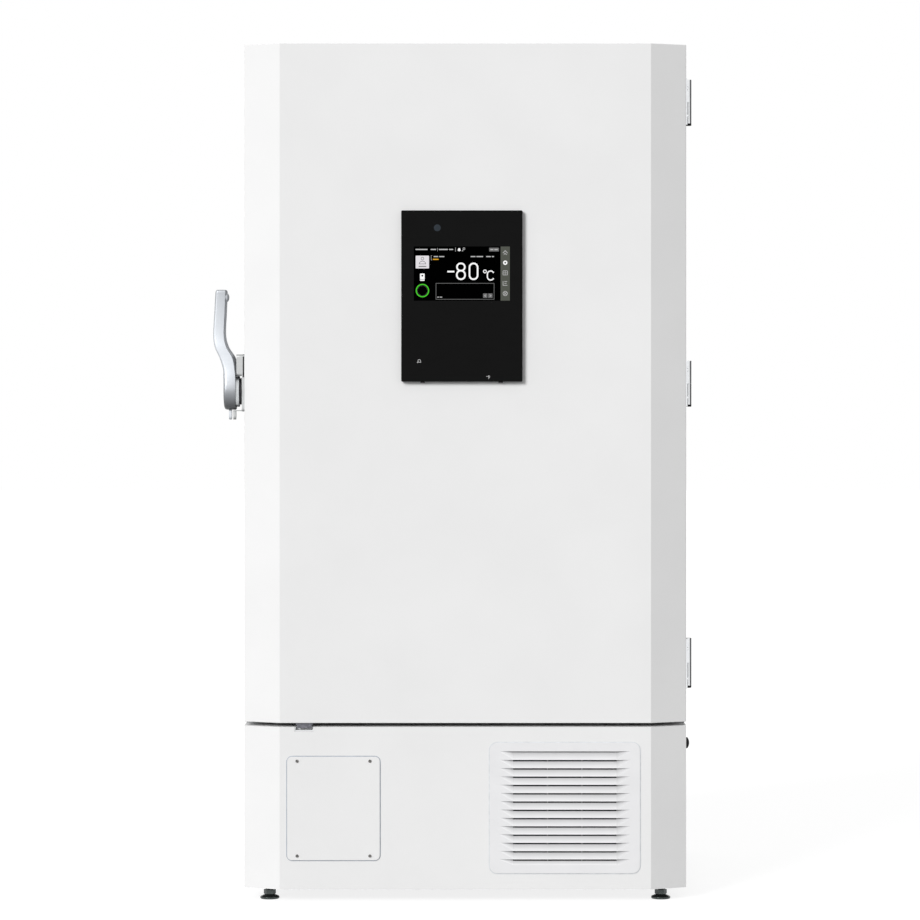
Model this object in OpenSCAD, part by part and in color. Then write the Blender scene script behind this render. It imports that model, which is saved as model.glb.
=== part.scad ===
// Upright ultra-low-temperature freezer: one outer door, two inner doors and a machine compartment below.
// Build axes: x from the middle of the cabinet, y rearwards from the flat of the door, z up from the floor.

/* [Cabinet] */
// Width over the side panels
cab_w = 1030; // [980:5:1080]
// Height of the top above the floor
cab_h = 1993; // [1950:1:2040]
// Thickness of the sheet steel
sheet_t = 1.5; // [1:0.1:2]
// Thickness of the insulated walls
wall_t = 80; // [70:1:90]
// Underside of the insulated body above the floor
body_z = 433; // [430:1:445]
// Depth of the storage space
store_d = 600; // [560:5:640]
// Depth of the recess that takes the inner doors
recess_d = 60; // [57:1:66]
// Step round the recess that the inner gaskets close on
recess_step = 15; // [14:1:20]
// Thickness of the plastic breaker frame
breaker_t = 3; // [2:0.5:4]
// Thickness of the inner liner
liner_t = 1; // [0.8:0.1:1.5]
// Height of the rail between the two inner doors
mid_rail_h = 30; // [26:1:40]
// Thickness of the rail between the two inner doors
mid_rail_t = 24; // [18:1:28]
// Lower edge of the side panels above the floor
side_z = 60; // [45:1:75]
// Reach of the rear spacers behind the cabinet
spacer_d = 36; // [30:1:45]
// Radius of the sensor port through the rear wall
port_r = 8.5; // [8:0.5:12]
// Wall of the sleeve in the port
port_wall = 3; // [2:0.5:4]
// Port from the left side of the cabinet
port_in = 185; // [150:1:250]
// Port above the floor of the storage space
port_up = 110; // [80:1:200]

/* [Shelves] */
// Width of the slotted rails
rail_w = 20; // [16:1:26]
// Thickness of the slotted rails
rail_t = 3; // [2:0.5:4]
// Rails from the front and the back of the storage space
rail_in = 70; // [50:1:100]
// Number of slots in a rail
rail_slots = 15; // [8:1:24]
// Height of a slot in a rail
rail_slot_h = 14; // [10:1:18]
// Reach of the clips that carry the shelves
clip_w = 18; // [12:1:24]
// Thickness of the shelves
shelf_t = 2; // [1.5:0.1:3]
// Height of the lips of the shelves
shelf_lip = 24; // [15:1:30]
// Width of the holes in the shelves
shelf_hole_w = 52; // [30:1:60]
// Height of the holes in the shelves
shelf_hole_h = 16; // [10:1:24]

/* [Outer door] */
// Thickness of the outer door
door_t = 92; // [86:1:100]
// Width of each chamfer along the front
chamfer_w = 84; // [70:1:95]
// Depth of each chamfer
chamfer_d = 36; // [28:1:38]
// Gap between the door and the cover below it
door_gap = 9; // [7:0.5:12]
// Thickness of the inner panel of the door
inner_panel_t = 3; // [2:0.5:4]
// Height of the raised field on the inner panel
field_h = 5; // [3:0.5:6]
// Width by which the raised field is narrower than the mouth
field_in = 60; // [50:1:90]
// Thickness of the gasket between door and cabinet
gasket_t = 14; // [13:0.5:16]
// Width of the gasket strip
gasket_w = 30; // [26:1:32]
// Margin of the gasket from the edge of the cabinet
gasket_in = 15; // [13:1:16]

/* [Inner doors] */
// Thickness of each inner door
inner_door_t = 48; // [44:1:49]
// Thickness of the inner gaskets
inner_gasket_t = 6; // [5:0.5:7]
// Width of the inner gaskets
inner_gasket_w = 10; // [8:0.5:11]
// Gap round each inner door
inner_gap = 4; // [3.5:0.5:6]
// Radius of the small hinge barrels
inner_barrel_r = 5; // [4.5:0.1:5]
// Radius of the small hinge pins
inner_pin_r = 2.5; // [2:0.1:3]
// Length of each small hinge barrel
inner_barrel_h = 30; // [20:1:40]
// Small hinges from the upper and lower edge of their door
inner_hinge_in = 70; // [50:1:120]
// Height of the lugs under the small hinges
inner_lug_h = 14; // [10:1:20]
// Width of the pulls
pull_w = 22; // [18:1:30]
// Length of the pulls
pull_h = 120; // [90:1:160]

/* [Control panel] */
// Width of the control panel
panel_w = 281; // [260:1:300]
// Height of the control panel
panel_h = 397; // [370:1:420]
// Middle of the panel from the middle of the door
panel_x = -8; // [-40:1:40]
// Height of the middle of the panel
panel_z = 1406; // [1350:1:1500]
// Depth of the panel housing
panel_d = 11; // [9:0.5:14]
// Thickness of the front glass of the panel
glass_t = 1.5; // [1:0.1:2]
// Width and height of the display
display = [223, 126];
// Middle of the display from the middle of the panel
display_at = [0, 52];
// Data socket in the lower edge, from the middle of the door
socket_x = 53; // [30:1:70]
// Half the width of the data socket
socket_half = 9; // [7:0.5:10]
// Buttons in the lower edge, from the middle of the door
bump_xs = [-99, 82];

/* [Handle] */
// Height of the handle pivot
pivot_z = 1185; // [1150:1:1230]
// Depth of the handle pivot behind the front
pivot_y = 66; // [62:1:70]
// Reach of the grip from the side of the door
grip_out = 73.5; // [70:0.5:78]
// Width of the grip seen from the front
grip_w = 28; // [24:0.5:30]
// Height of the top of the lever above the pivot
lever_h = 237; // [220:1:255]
// Radius of the boss at the foot of the lever
boss_r = 43; // [40:0.5:44]
// Radius of the round edge of the boss
boss_edge = 8; // [5:0.5:10]
// Width of the boss inside its outer face
boss_w = 28; // [26:0.5:30]
// Radius of the inner disc of the boss
disc_r = 36; // [33:0.5:38]
// Outer face of the boss from the side of the door
boss_out = 48.5; // [46:0.5:52]
// Inner face of the boss from the side of the door
boss_in = 13.1; // [12.5:0.1:14]
// Thickness of the base plate of the bracket
plate_t = 6.5; // [5:0.5:7]
// Lower end of the base plate below the pivot
plate_down = 47; // [45:1:52]
// Upper end of the base plate above the pivot
plate_up = 86; // [75:1:95]
// Reach of the bracket's housing from the side of the door
house_out = 19; // [16:0.5:20]
// Depth of the bracket's housing
house_d = 24; // [20:1:26]
// Rear of the housing ahead of the pivot, clear of the turned hook
house_ahead = 3; // [2.5:0.5:5]
// Radius of the pivot pin
pivot_r = 6; // [5:0.5:7]
// Radius of the key lock
lock_r = 9; // [8:0.5:11]
// Radius of the holes for a padlock
padlock_r = 4.5; // [3.5:0.5:5]
// Radius of the padlock lugs
lug_r = 9; // [8:0.5:11]
// Reach of the two faces of the lever's padlock lug
lever_lug = [31.2, 37.5];
// Reach of the two faces of the bracket's padlock lug
plate_lug = [21.3, 27.5];
// Thickness of the latch hook
hook_t = 4.5; // [3.5:0.5:4.5]
// Radius of the hub of the latch hook
hook_r = 31; // [18:0.5:33]
// Radius of the pin that the latch hook closes over
striker_r = 5; // [4:0.5:6]
// Depth of that pin behind the front of the cabinet
striker_in = 16; // [14:1:20]
// Height of the grip's knob
knob_r = 7; // [5:0.5:9]

/* [Hinges] */
// Radius of the hinge barrels
barrel_r = 7; // [6:0.5:7.5]
// Radius of the hinge pins
pin_r = 4; // [3:0.5:5]
// Reach of the hinges from the side of the cabinet
hinge_reach = 15; // [14.5:0.5:16]
// Height of each upper hinge
hinge_h = 107; // [90:1:120]
// Height of the lowest hinge
low_hinge_h = 116; // [100:1:130]
// Thickness of the hinge leaves
leaf_t = 3.5; // [2.5:0.5:4]
// Lower end of the lowest hinge above the floor
low_hinge_z = 491; // [480:1:520]
// Lower end of the highest hinge below the top
top_hinge_in = 185; // [150:1:220]
// Width of the hinge leaves
leaf_w = 34; // [28:1:38]
// Depth of the hinge pins in front of the rear of the door
hinge_pin_in = 14; // [12:1:18]

/* [Front cover] */
// Lower edge of the front cover above the floor
skirt_z = 29; // [20:1:40]
// Upper edge of the front cover above the floor
cover_top = 406; // [395:1:415]
// Thickness of the front cover
cover_t = 2; // [1.5:0.1:3]
// Width of the blank plate
blank_w = 215; // [180:1:230]
// Height of the blank plate
blank_h = 240; // [200:1:260]
// Middle of the blank plate from the left side of the cabinet
blank_in = 209; // [195:1:235]
// Height of the middle of the blank plate
blank_z = 217; // [200:1:240]
// Width of the pocket in the upper edge
pocket_w = 45; // [40:1:60]
// Depth of the pocket below the upper edge
pocket_h = 10; // [9:0.5:14]
// Middle of the pocket from the left side of the cabinet
pocket_in = 141; // [125:1:195]
// Depth of the pocket behind the face of the cover
pocket_d = 22; // [18:1:26]
// Wall of the cup in the pocket
cup_t = 2; // [1.5:0.1:2.5]
// Overlap of the blank plate round its opening
blank_lap = 20; // [15:1:24]
// Screws from the middle of the blank plate, across and up
screw_at = [84.5, 110];
// Radius of the screws
screw_r = 2; // [1.5:0.1:2.5]
// Radius of the heads of the screws
screw_head_r = 3.5; // [3:0.1:4.5]
// Width of the tab below the door
tab_w = 34; // [26:1:36]
// Radius of the rubber plug in the side of the cover
plug_r = 13; // [10:0.5:15]
// Depth of the plug behind the front
plug_y = 72; // [60:1:85]
// Height of the plug
plug_z = 362; // [340:1:375]

/* [Grille] */
// Width of the grille
grille_w = 349; // [330:1:370]
// Height of the grille
grille_h = 303; // [300:1:320]
// Middle of the grille from the right side of the cabinet
grille_in = 284; // [279:1:295]
// Height of the middle of the grille
grille_z = 218; // [205:1:225]
// Radius of the corners of the grille
grille_r = 18; // [10:1:30]
// Overlap of the grille round its opening
grille_lap = 6; // [4:0.5:8]
// Height of the louvred field above the middle of the grille
field_up = 131.6; // [128:0.1:135]
// First slot below the top of the louvred field
first_drop = 20; // [18:0.5:22]
// Foot of the louvred field below the last slot
foot_drop = 14.2; // [12:0.1:16]
// Number of slots
slot_n = 13; // [8:1:13]
// Distance from slot to slot
slot_pitch = 19.24; // [17:0.01:19.5]
// Length of the slots
slot_w = 240; // [200:1:260]
// Open height of a slot
slot_gap = 4; // [3:0.1:6]
// Length over which a louvre fades into the frame
fade_w = 32; // [20:1:38]
// Depth of a louvre behind the face at its top
louvre_d = 8; // [5:0.5:10]
// Thickness of a louvre
louvre_t = 2; // [1.5:0.1:3]
// Height of the flat lip at the foot of a louvre
lip_h = 1.2; // [0.8:0.1:2]

/* [Running gear] */
// Radius of the caster wheels
wheel_r = 30; // [25:1:31]
// Width of the caster wheels
wheel_w = 24; // [20:1:28]
// Offset of a wheel from its swivel axis
trail = 24; // [15:1:30]
// Swivel axes from the side of the cabinet
caster_in = 85; // [75:1:115]
// Swivel axes of the front casters
caster_front_y = 226; // [200:1:260]
// Swivel axes of the rear casters
caster_rear_y = 752; // [700:1:770]
// Upper face of the base pan above the floor
pan_z = 87; // [84:1:92]
// Thickness of the base pan
pan_t = 3; // [2:0.5:4]
// Radius of the levelling feet
foot_r = 22.5; // [18:0.5:28]
// Levelling feet from the side of the cabinet
foot_in = 58; // [55:1:85]
// Depth of the levelling feet behind the front
foot_y = 58; // [50:1:70]
// Radius of the stems of the levelling feet
foot_stem_r = 6; // [5:0.5:8]
// Width of the corner posts of the base
post_w = 40; // [30:1:50]

/* [Cooling] */
// Width of the condenser
cond_w = 330; // [300:5:350]
// Height of the condenser
cond_h = 250; // [220:5:270]
// Depth of the condenser
cond_d = 48; // [36:1:55]
// Radius of the condenser's tubes
tube_r = 4.8; // [4:0.1:5]
// Number of the condenser's return bends on each side
tube_rows = 6; // [4:1:8]
// Thickness of the dust filter
filter_t = 6; // [5:0.5:8]
// Gap between the dust filter and the condenser
filter_gap = 16; // [14:1:20]
// Radius of the fan
fan_r = 110; // [90:1:115]
// Number of fan blades
blade_n = 5; // [3:1:7]
// Radius of the hub of the fan
hub_r = 26; // [20:1:30]
// Half the width of a fan blade
blade_half = 30; // [20:1:32]
// Depth of the ring that the fan runs in
shroud_d = 44; // [40:1:50]
// Radius of the fan motor
motor_r = 34; // [28:1:40]
// Length of the fan motor
motor_l = 42; // [35:1:60]
// Radius of the fan shaft
shaft_r = 4; // [3:0.5:5]
// Radius of the compressors
comp_r = 92; // [80:1:100]
// Height of the compressors
comp_h = 190; // [160:1:215]
// Middle of the compressors from the right side of the cabinet
comp_in = 265; // [240:1:290]
// Depth of the compressor of the first stage
comp_high_y = 430; // [410:1:450]
// Depth of the compressor of the second stage
comp_low_y = 680; // [650:1:700]
// Ports of a compressor from its axis
comp_port = 34; // [28:1:40]
// Radius of the fittings at the corners of the lines
fitting_r = 6; // [5.5:0.1:7]
// Radius of the filter drier
drier_r = 16; // [12:1:20]

/* [Controls] */
// Width of the control box
control_w = 314; // [250:1:330]
// Depth of the control box
control_d = 230; // [180:1:260]
// Height of the control box
control_h = 230; // [180:1:260]
// Control box from the left side of the cabinet
control_in = 51; // [48:1:80]
// Front of the control box
control_y = 262; // [260:1:300]
// Riser of the high stage from the control box
riser_gap = 60; // [40:1:80]
// Riser of the low stage from that of the high stage
riser_pitch = 50; // [40:1:70]
// Mains switch from the right side of the cabinet
switch_in = 105; // [80:1:150]
// Height of the mains switch
switch_z = 380; // [360:1:400]
// Radius of the rocker of the switch
rocker_r = 13; // [12:0.5:14]
// Radius of the pin of the rocker
rocker_pin_r = 1.5; // [1:0.1:2]
// Width of the rocker of the switch
rocker_w = 13; // [10:0.5:14]
// Gland of the mains lead from the left side of the cabinet
gland_in = 115; // [90:1:200]
// Height of the gland
gland_z = 170; // [150:1:220]
// Width of the rear vents
vent_w = 90; // [60:1:110]
// Height of the rear vents
vent_h = 7; // [5:0.5:10]

/* [Fits] */
// Radial clearance of a pin in its bore
run_fit = 0.05; // [0.03:0.01:0.08]
// Clearance of pieces that close against each other
seat = 0.3; // [0.2:0.05:0.5]

/* [Hidden] */
half_w = cab_w / 2;
flat_w = half_w - chamfer_w;
chamfer_a = atan(chamfer_d / chamfer_w);
door_z = cover_top + door_gap;
front_y = door_t + gasket_t;
seat_y = front_y + recess_d;
store_rear = seat_y + store_d;
rear_y = store_rear + wall_t;
total_d = rear_y + spacer_d;
store_w = cab_w - 2 * wall_t;
store_z = body_z + wall_t;
store_top = cab_h - wall_t;
store_h = store_top - store_z;
mid_z = (store_z + store_top) / 2;
mouth_w = store_w + 2 * recess_step;
panel_proud = panel_d + glass_t;
pin_x = half_w + hinge_reach - barrel_r;
pin_y = door_t - hinge_pin_in;
inner_pin_x = mouth_w / 2 - inner_gap;
inner_front = seat_y - inner_gasket_t - inner_door_t;
inner_pin_y = inner_front - inner_barrel_r - 0.5;
inner_w = mouth_w - 2 * inner_gap;
inner_h = (store_h + 2 * recess_step - 3 * inner_gap) / 2;
inner_z = [store_z - recess_step + inner_gap, store_z - recess_step + 2 * inner_gap + inner_h];
shelf_zs = [store_z + store_h / 4, mid_z, store_top - store_h / 4];
rail_ys = [seat_y + rail_in, store_rear - rail_in];
port_at = [-half_w + port_in, store_z + port_up];
field_w = mouth_w - field_in;
hinge_zs = [low_hinge_z, (low_hinge_z + cab_h - top_hinge_in) / 2, cab_h - top_hinge_in];
bracket_low = pivot_z - plate_down;
bracket_top = pivot_z + plate_up;
lug_z = bracket_low - 10;
striker_y = front_y + striker_in;
striker_z = pivot_z - striker_r;
blank_x = -half_w + blank_in;
pocket_x = -half_w + pocket_in;
grille_x = half_w - grille_in;
caster_x = half_w - caster_in;
foot_x = half_w - foot_in;
gland_at = [-half_w + gland_in, gland_z];
switch_at = [half_w - switch_in, switch_z];
comp_high_at = [half_w - comp_in, comp_high_y];
comp_low_at = [half_w - comp_in, comp_low_y];
pan_low = pan_z - pan_t;
pad_t = 6;
pad_w = 96;
king_r = 6;
axle_r = 4;
gasket_ring_w = cab_w - 2 * gasket_in;
gasket_ring_z = body_z + gasket_in;
gasket_ring_h = cab_h - gasket_in - gasket_ring_z;
slat_top = grille_z + field_up;
first_slot = slat_top - first_drop;
last_slot = first_slot - (slot_n - 1) * slot_pitch;
slat_foot = last_slot - foot_drop;
slat_zs = concat([slat_top], [for (k = [0 : slot_n - 1]) first_slot - k * slot_pitch], [slat_foot]);
grille_front = -1.5;
louvre_deep = grille_front + louvre_d;
grille_back = louvre_deep + louvre_t + 1.5;
cond_x0 = grille_x - cond_w / 2;
cond_x1 = grille_x + cond_w / 2;
cond_low = pan_z + 6;
cond_top = cond_low + cond_h;
filter_y = grille_back + 1.3;
cond_y = filter_y + filter_t + filter_gap;
baffle_d = filter_gap + 2.2;
shroud_y = cond_y + cond_d + baffle_d + 0.3;
fan_y = shroud_y + 8;
motor_y = fan_y + 30;
line_z = pan_z + comp_h + 8;
riser_x = -half_w + control_in + control_w + riser_gap;
low_riser_x = riser_x + riser_pitch;
frame_x = (grip_out - hinge_reach) / 2;
frame_y = -(total_d - panel_proud) / 2;

// General shapes

// Moves a piece from the build axes to the frame of the part
module place() translate([frame_x, frame_y, 0]) children();

// Box between two corners
module box(lo, hi) translate(lo) cube(hi - lo);

// Rectangle with round corners, centred
module round_rect(size, r) {
    square([size[0] - 2 * r, size[1]], center = true);
    square([size[0], size[1] - 2 * r], center = true);
    for (sx = [-1, 1], sy = [-1, 1])
        translate([sx * (size[0] / 2 - r), sy * (size[1] / 2 - r)]) circle(r = r, $fn = 48);
}

// Upright plate whose outline lies in x and z, from y0 rearwards
module upright(y0, t) translate([0, y0 + t, 0]) rotate([90, 0, 0]) linear_extrude(t) children();

// Plate whose outline lies in y and z, from x0 to the right
module sideways(x0, t) translate([x0, 0, 0]) rotate([90, 0, 90]) linear_extrude(t) children();

// Cylinder along x, y or z
module rod_x(x0, x1, y, z, r) translate([x0, y, z]) rotate([0, 90, 0])
    cylinder(h = x1 - x0, r = r, $fn = 64);
module rod_y(y0, y1, x, z, r) translate([x, y0, z]) rotate([-90, 0, 0])
    cylinder(h = y1 - y0, r = r, $fn = 64);
module rod_z(z0, z1, x, y, r) translate([x, y, z0]) cylinder(h = z1 - z0, r = r, $fn = 64);

// Plan outline of the front with its two chamfers, inset by t, back to y_back
function front_plan(t, y_back) = let (
    xs = half_w - t,
    ys = chamfer_d + t * tan((90 - chamfer_a) / 2),
    xf = flat_w - t * tan(chamfer_a / 2)
) [[-xs, y_back], [-xs, ys], [-xf, t], [xf, t], [xs, ys], [xs, y_back]];

// Ring of an upright gasket or frame
module ring_xz(w, h, band, r, zc, y0, t)
    translate([0, 0, zc]) upright(y0, t) difference() {
        round_rect([w, h], r);
        round_rect([w - 2 * band, h - 2 * band], max(r - band, 2));
    }

// Cabinet

module side_panel(side) color("#e9eaeb") place()
    box([side > 0 ? half_w - sheet_t : -half_w, front_y, side_z],
        [side > 0 ? half_w : -half_w + sheet_t, rear_y, cab_h - sheet_t]);

module top_panel() color("#e9eaeb") place()
    box([-half_w, front_y, cab_h - sheet_t], [half_w, rear_y, cab_h]);

module rear_panel() color("#d9dbdd") place() difference() {
    box([-half_w + sheet_t, rear_y - sheet_t, body_z], [half_w - sheet_t, rear_y, cab_h - sheet_t]);
    rod_y(rear_y - 2 * sheet_t, rear_y + 1, port_at[0], port_at[1], port_r + port_wall);
}

// Foam block between the outer sheets, the breaker frame and the liner
module insulation() color("#e8d9a8") place() difference() {
    box([-half_w + sheet_t, front_y + breaker_t, body_z],
        [half_w - sheet_t, rear_y - sheet_t, cab_h - sheet_t]);
    box([-mouth_w / 2 - breaker_t, front_y, store_z - recess_step - breaker_t],
        [mouth_w / 2 + breaker_t, seat_y + breaker_t, store_top + recess_step + breaker_t]);
    box([-store_w / 2 - liner_t, front_y, store_z - liner_t],
        [store_w / 2 + liner_t, store_rear + liner_t, store_top + liner_t]);
    rod_y(store_rear, rear_y + 1, port_at[0], port_at[1], port_r + port_wall);
}

// Stainless liner of the storage space, open at the front
module inner_liner() color("#d5d8da") place() difference() {
    box([-store_w / 2 - liner_t, seat_y + breaker_t, store_z - liner_t],
        [store_w / 2 + liner_t, store_rear + liner_t, store_top + liner_t]);
    box([-store_w / 2, seat_y, store_z], [store_w / 2, store_rear, store_top]);
    rod_y(store_rear - 1, store_rear + 2 * liner_t, port_at[0], port_at[1], port_r + port_wall);
}

// Lower ends of the two small hinges of inner door k
function inner_hinge_zs(k) = [
    inner_z[k] + inner_hinge_in,
    inner_z[k] + inner_h - inner_hinge_in - inner_barrel_h];

// Plastic frame round the mouth, with the rail and the lugs that carry the inner doors
module breaker_frame() color("#f2f3f4") place() {
    difference() {
        union() {
            box([-half_w + sheet_t, front_y, body_z],
                [half_w - sheet_t, front_y + breaker_t, cab_h - sheet_t]);
            box([-mouth_w / 2 - breaker_t, front_y, store_z - recess_step - breaker_t],
                [mouth_w / 2 + breaker_t, seat_y + breaker_t, store_top + recess_step + breaker_t]);
        }
        box([-mouth_w / 2, front_y - 1, store_z - recess_step],
            [mouth_w / 2, seat_y, store_top + recess_step]);
        box([-store_w / 2, front_y, store_z], [store_w / 2, seat_y + 2 * breaker_t, store_top]);
        for (k = [0, 1], z = inner_hinge_zs(k))
            rod_z(z - seat, z + inner_barrel_h + seat, inner_pin_x, inner_pin_y, inner_barrel_r + seat);
    }
    box([-store_w / 2, seat_y, mid_z - mid_rail_h / 2],
        [store_w / 2, seat_y + mid_rail_t, mid_z + mid_rail_h / 2]);
    for (k = [0, 1], z = inner_hinge_zs(k)) inner_lug(z);
}

module inner_lug(z) {
    rod_z(z - seat - inner_lug_h, z - seat, inner_pin_x, inner_pin_y, inner_barrel_r);
    rod_z(z - seat - 1, z + inner_barrel_h - 4, inner_pin_x, inner_pin_y, inner_pin_r);
    box([inner_pin_x, front_y - 3, z - seat - inner_lug_h], [mouth_w / 2 + 11, front_y + 0.5, z - seat]);
}

// Slotted rails on the side walls, with the clips that carry the shelves
module shelf_rails() color("#b9bdc0") place()
    for (sx = [-1, 1], y = rail_ys) {
        difference() {
            rail_box(sx, y, 0, rail_t, rail_w / 2, store_z + 20, store_top - 20);
            for (k = [0 : rail_slots - 1])
                rail_box(sx, y, -1, rail_t + 1, 3, rail_slot_z(k), rail_slot_z(k) + rail_slot_h);
        }
        for (z = shelf_zs) {
            rail_box(sx, y, rail_t, rail_t + clip_w, rail_w / 2 - 2, z - shelf_t - 2, z - shelf_t);
            rail_box(sx, y, rail_t, rail_t + 2, rail_w / 2 - 2, z - shelf_t - 18, z - shelf_t);
        }
    }
function rail_slot_z(k) = store_z + 40 + k * (store_h - 90) / (rail_slots - 1);
module rail_box(sx, y, in0, in1, half, z0, z1) {
    x0 = sx * (store_w / 2 - in0);
    x1 = sx * (store_w / 2 - in1);
    box([min(x0, x1), y - half, z0], [max(x0, x1), y + half, z1]);
}

// Stainless shelf with a lip down at the front and the back
module shelf(z) color("#c9cdd0") place() {
    xs = store_w / 2 - rail_t - 2.5;
    y0 = seat_y + mid_rail_t + 6;
    y1 = store_rear - 12;
    difference() {
        box([-xs, y0, z - shelf_t], [xs, y1, z]);
        for (i = [-4 : 4], j = [0 : 3])
            translate([i * 88, y0 + 115 + j * (y1 - y0 - 230) / 3, z - shelf_t - 1])
                linear_extrude(shelf_t + 2) round_rect([shelf_hole_w, shelf_hole_h], shelf_hole_h / 2 - 0.1);
    }
    box([-xs, y0, z - shelf_lip], [xs, y0 + shelf_t, z]);
    box([-xs, y1 - shelf_t, z - shelf_lip], [xs, y1, z]);
}

// Base pan with caster pads, corner posts and the beam under the front of the insulated body
module base_frame() color("#8d9194") place() {
    difference() {
        union() {
            box([-half_w + sheet_t, front_y, pan_low], [half_w - sheet_t, rear_y - sheet_t, pan_z]);
            box([-foot_x - 18, foot_y - 24, pan_low], [foot_x + 18, front_y, pan_z]);
            for (sx = [-1, 1], y = [caster_front_y, caster_rear_y])
                box([sx * caster_x - pad_w / 2, y - pad_w / 2, pan_low - pad_t],
                    [sx * caster_x + pad_w / 2, y + pad_w / 2, pan_z]);
            for (sx = [-1, 1]) rod_z(pan_low - 16, pan_z, sx * foot_x, foot_y, 13);
        }
        for (sx = [-1, 1], y = [caster_front_y, caster_rear_y])
            rod_z(pan_low - pad_t - 1, pan_z + 1, sx * caster_x, y, king_r + run_fit);
        for (sx = [-1, 1]) rod_z(pan_low - 20, pan_z + 1, sx * foot_x, foot_y, foot_stem_r + run_fit);
    }
    for (sx = [-1, 1], y = [front_y, rear_y - sheet_t - post_w]) difference() {
        box([sx > 0 ? half_w - sheet_t - post_w : -half_w + sheet_t, y, pan_z],
            [sx > 0 ? half_w - sheet_t : -half_w + sheet_t + post_w, y + post_w, body_z]);
        box([sx > 0 ? half_w - sheet_t - post_w - 1 : -half_w + sheet_t + pan_t,
             y > front_y ? y - 1 : y + pan_t, pan_z],
            [sx > 0 ? half_w - sheet_t - pan_t : -half_w + sheet_t + post_w + 1,
             y > front_y ? y + post_w - pan_t : y + post_w + 1, body_z + 1]);
    }
    box([-half_w + sheet_t, front_y, cover_top - 30], [half_w - sheet_t, front_y + pan_t, body_z]);
    box([-half_w + sheet_t, front_y, body_z - pan_t], [half_w - sheet_t, front_y + 30, body_z]);
    box([-half_w + sheet_t, rear_y - sheet_t - 30, body_z - pan_t],
        [half_w - sheet_t, rear_y - sheet_t, body_z]);
}

// Front cover of the machine compartment, with its openings
module front_cover() color("#eceded") place() difference() {
    translate([0, 0, skirt_z]) linear_extrude(cover_top - skirt_z) polygon(front_plan(0, front_y - seat));
    translate([0, 0, skirt_z - 1]) linear_extrude(cover_top - skirt_z + 1 - cover_t)
        polygon(front_plan(cover_t, front_y + 1));
    translate([grille_x, 0, grille_z]) upright(-1, cover_t + 2)
        round_rect([grille_w - 2 * grille_lap, grille_h - 2 * grille_lap], grille_r - grille_lap);
    translate([blank_x, 0, blank_z]) upright(-1, cover_t + 2)
        round_rect([blank_w - 2 * blank_lap, blank_h - 2 * blank_lap], 4);
    for (sx = [-1, 1], sz = [-1, 1])
        rod_y(-1, cover_t + 1, blank_x + sx * screw_at[0], blank_z + sz * screw_at[1], screw_r + run_fit);
    box([pocket_x - pocket_w / 2, -1, cover_top - pocket_h],
        [pocket_x + pocket_w / 2, pocket_d, cover_top + 1]);
    rod_x(half_w - cover_t - 1, half_w + 1, plug_y, plug_z, plug_r - 4);
}

// Cup let into the upper edge of the cover, open to the front and above
module latch_pocket() color("#f1f1f2") place() difference() {
    box([pocket_x - pocket_w / 2 + seat, 0.5, cover_top - pocket_h + seat],
        [pocket_x + pocket_w / 2 - seat, pocket_d - seat, cover_top - 0.5]);
    box([pocket_x - pocket_w / 2 + seat + cup_t, -1, cover_top - pocket_h + seat + cup_t],
        [pocket_x + pocket_w / 2 - seat - cup_t, pocket_d - seat - cup_t, cover_top + 1]);
}

// Louvred intake grille

// Hollow in front of one louvre: deepest under the louvre above, running out to a point at both ends
module louvre_dip(k) {
    top = slat_zs[k];
    foot = slat_zs[k + 1] + lip_h;
    fore = grille_front - 1;
    low = foot - (top - foot) / louvre_d;
    end = slot_w / 2 + fade_w * (louvre_d + 1) / louvre_d;
    polyhedron(
        points = [[-slot_w / 2, fore, low], [slot_w / 2, fore, low], [-slot_w / 2, louvre_deep, top],
            [slot_w / 2, louvre_deep, top], [-end, fore, top], [end, fore, top]],
        faces = [[4, 5, 1, 0], [4, 2, 3, 5], [0, 1, 3, 2], [4, 0, 2], [1, 5, 3]]);
}

// Corners in y and z of what is open behind louvre k and through the slot above it
function behind_louvre(k) = let (
    z0 = slat_zs[k + 1],
    z1 = slat_zs[k] - (k == 0 ? 0 : slot_gap),
    y1 = louvre_deep + louvre_t - louvre_d * (slat_zs[k] - z1) / (slat_zs[k] - z0)
) concat(k == 0 ? [] : [[grille_front - 1, slat_zs[k]], [grille_front - 1, z1]],
    [[y1, z1], [grille_front + louvre_t, z0]]);

module grille() color("#e3e4e6") place() translate([grille_x, 0, 0]) {
    difference() {
        union() {
            translate([0, 0, grille_z]) upright(grille_front, -grille_front)
                round_rect([grille_w, grille_h], grille_r);
            translate([0, 0, grille_z]) upright(-0.1, grille_back)
                round_rect([grille_w - 2 * grille_lap - 1, grille_h - 2 * grille_lap - 1],
                    grille_r - grille_lap);
        }
        for (k = [0 : slot_n]) louvre_dip(k);
        sideways(-slot_w / 2, slot_w) polygon(concat([[grille_back + 1, slat_top]],
            [for (k = [0 : slot_n]) each behind_louvre(k)], [[grille_back + 1, slat_foot]]));
    }
    for (x = [-slot_w / 6, slot_w / 6])
        box([x - 1, louvre_deep + louvre_t - 1, slat_foot - 1], [x + 1, grille_back + 1.3, slat_top + 1]);
}

// Washable dust filter clipped behind the grille
module condenser_filter() color("#3c4146") place() difference() {
    box([cond_x0, filter_y, cond_low], [cond_x1, filter_y + filter_t, cond_top]);
    box([cond_x0 + 10, filter_y - 1, cond_low + 10], [cond_x1 - 10, filter_y + filter_t - 2, cond_top - 10]);
}

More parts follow.
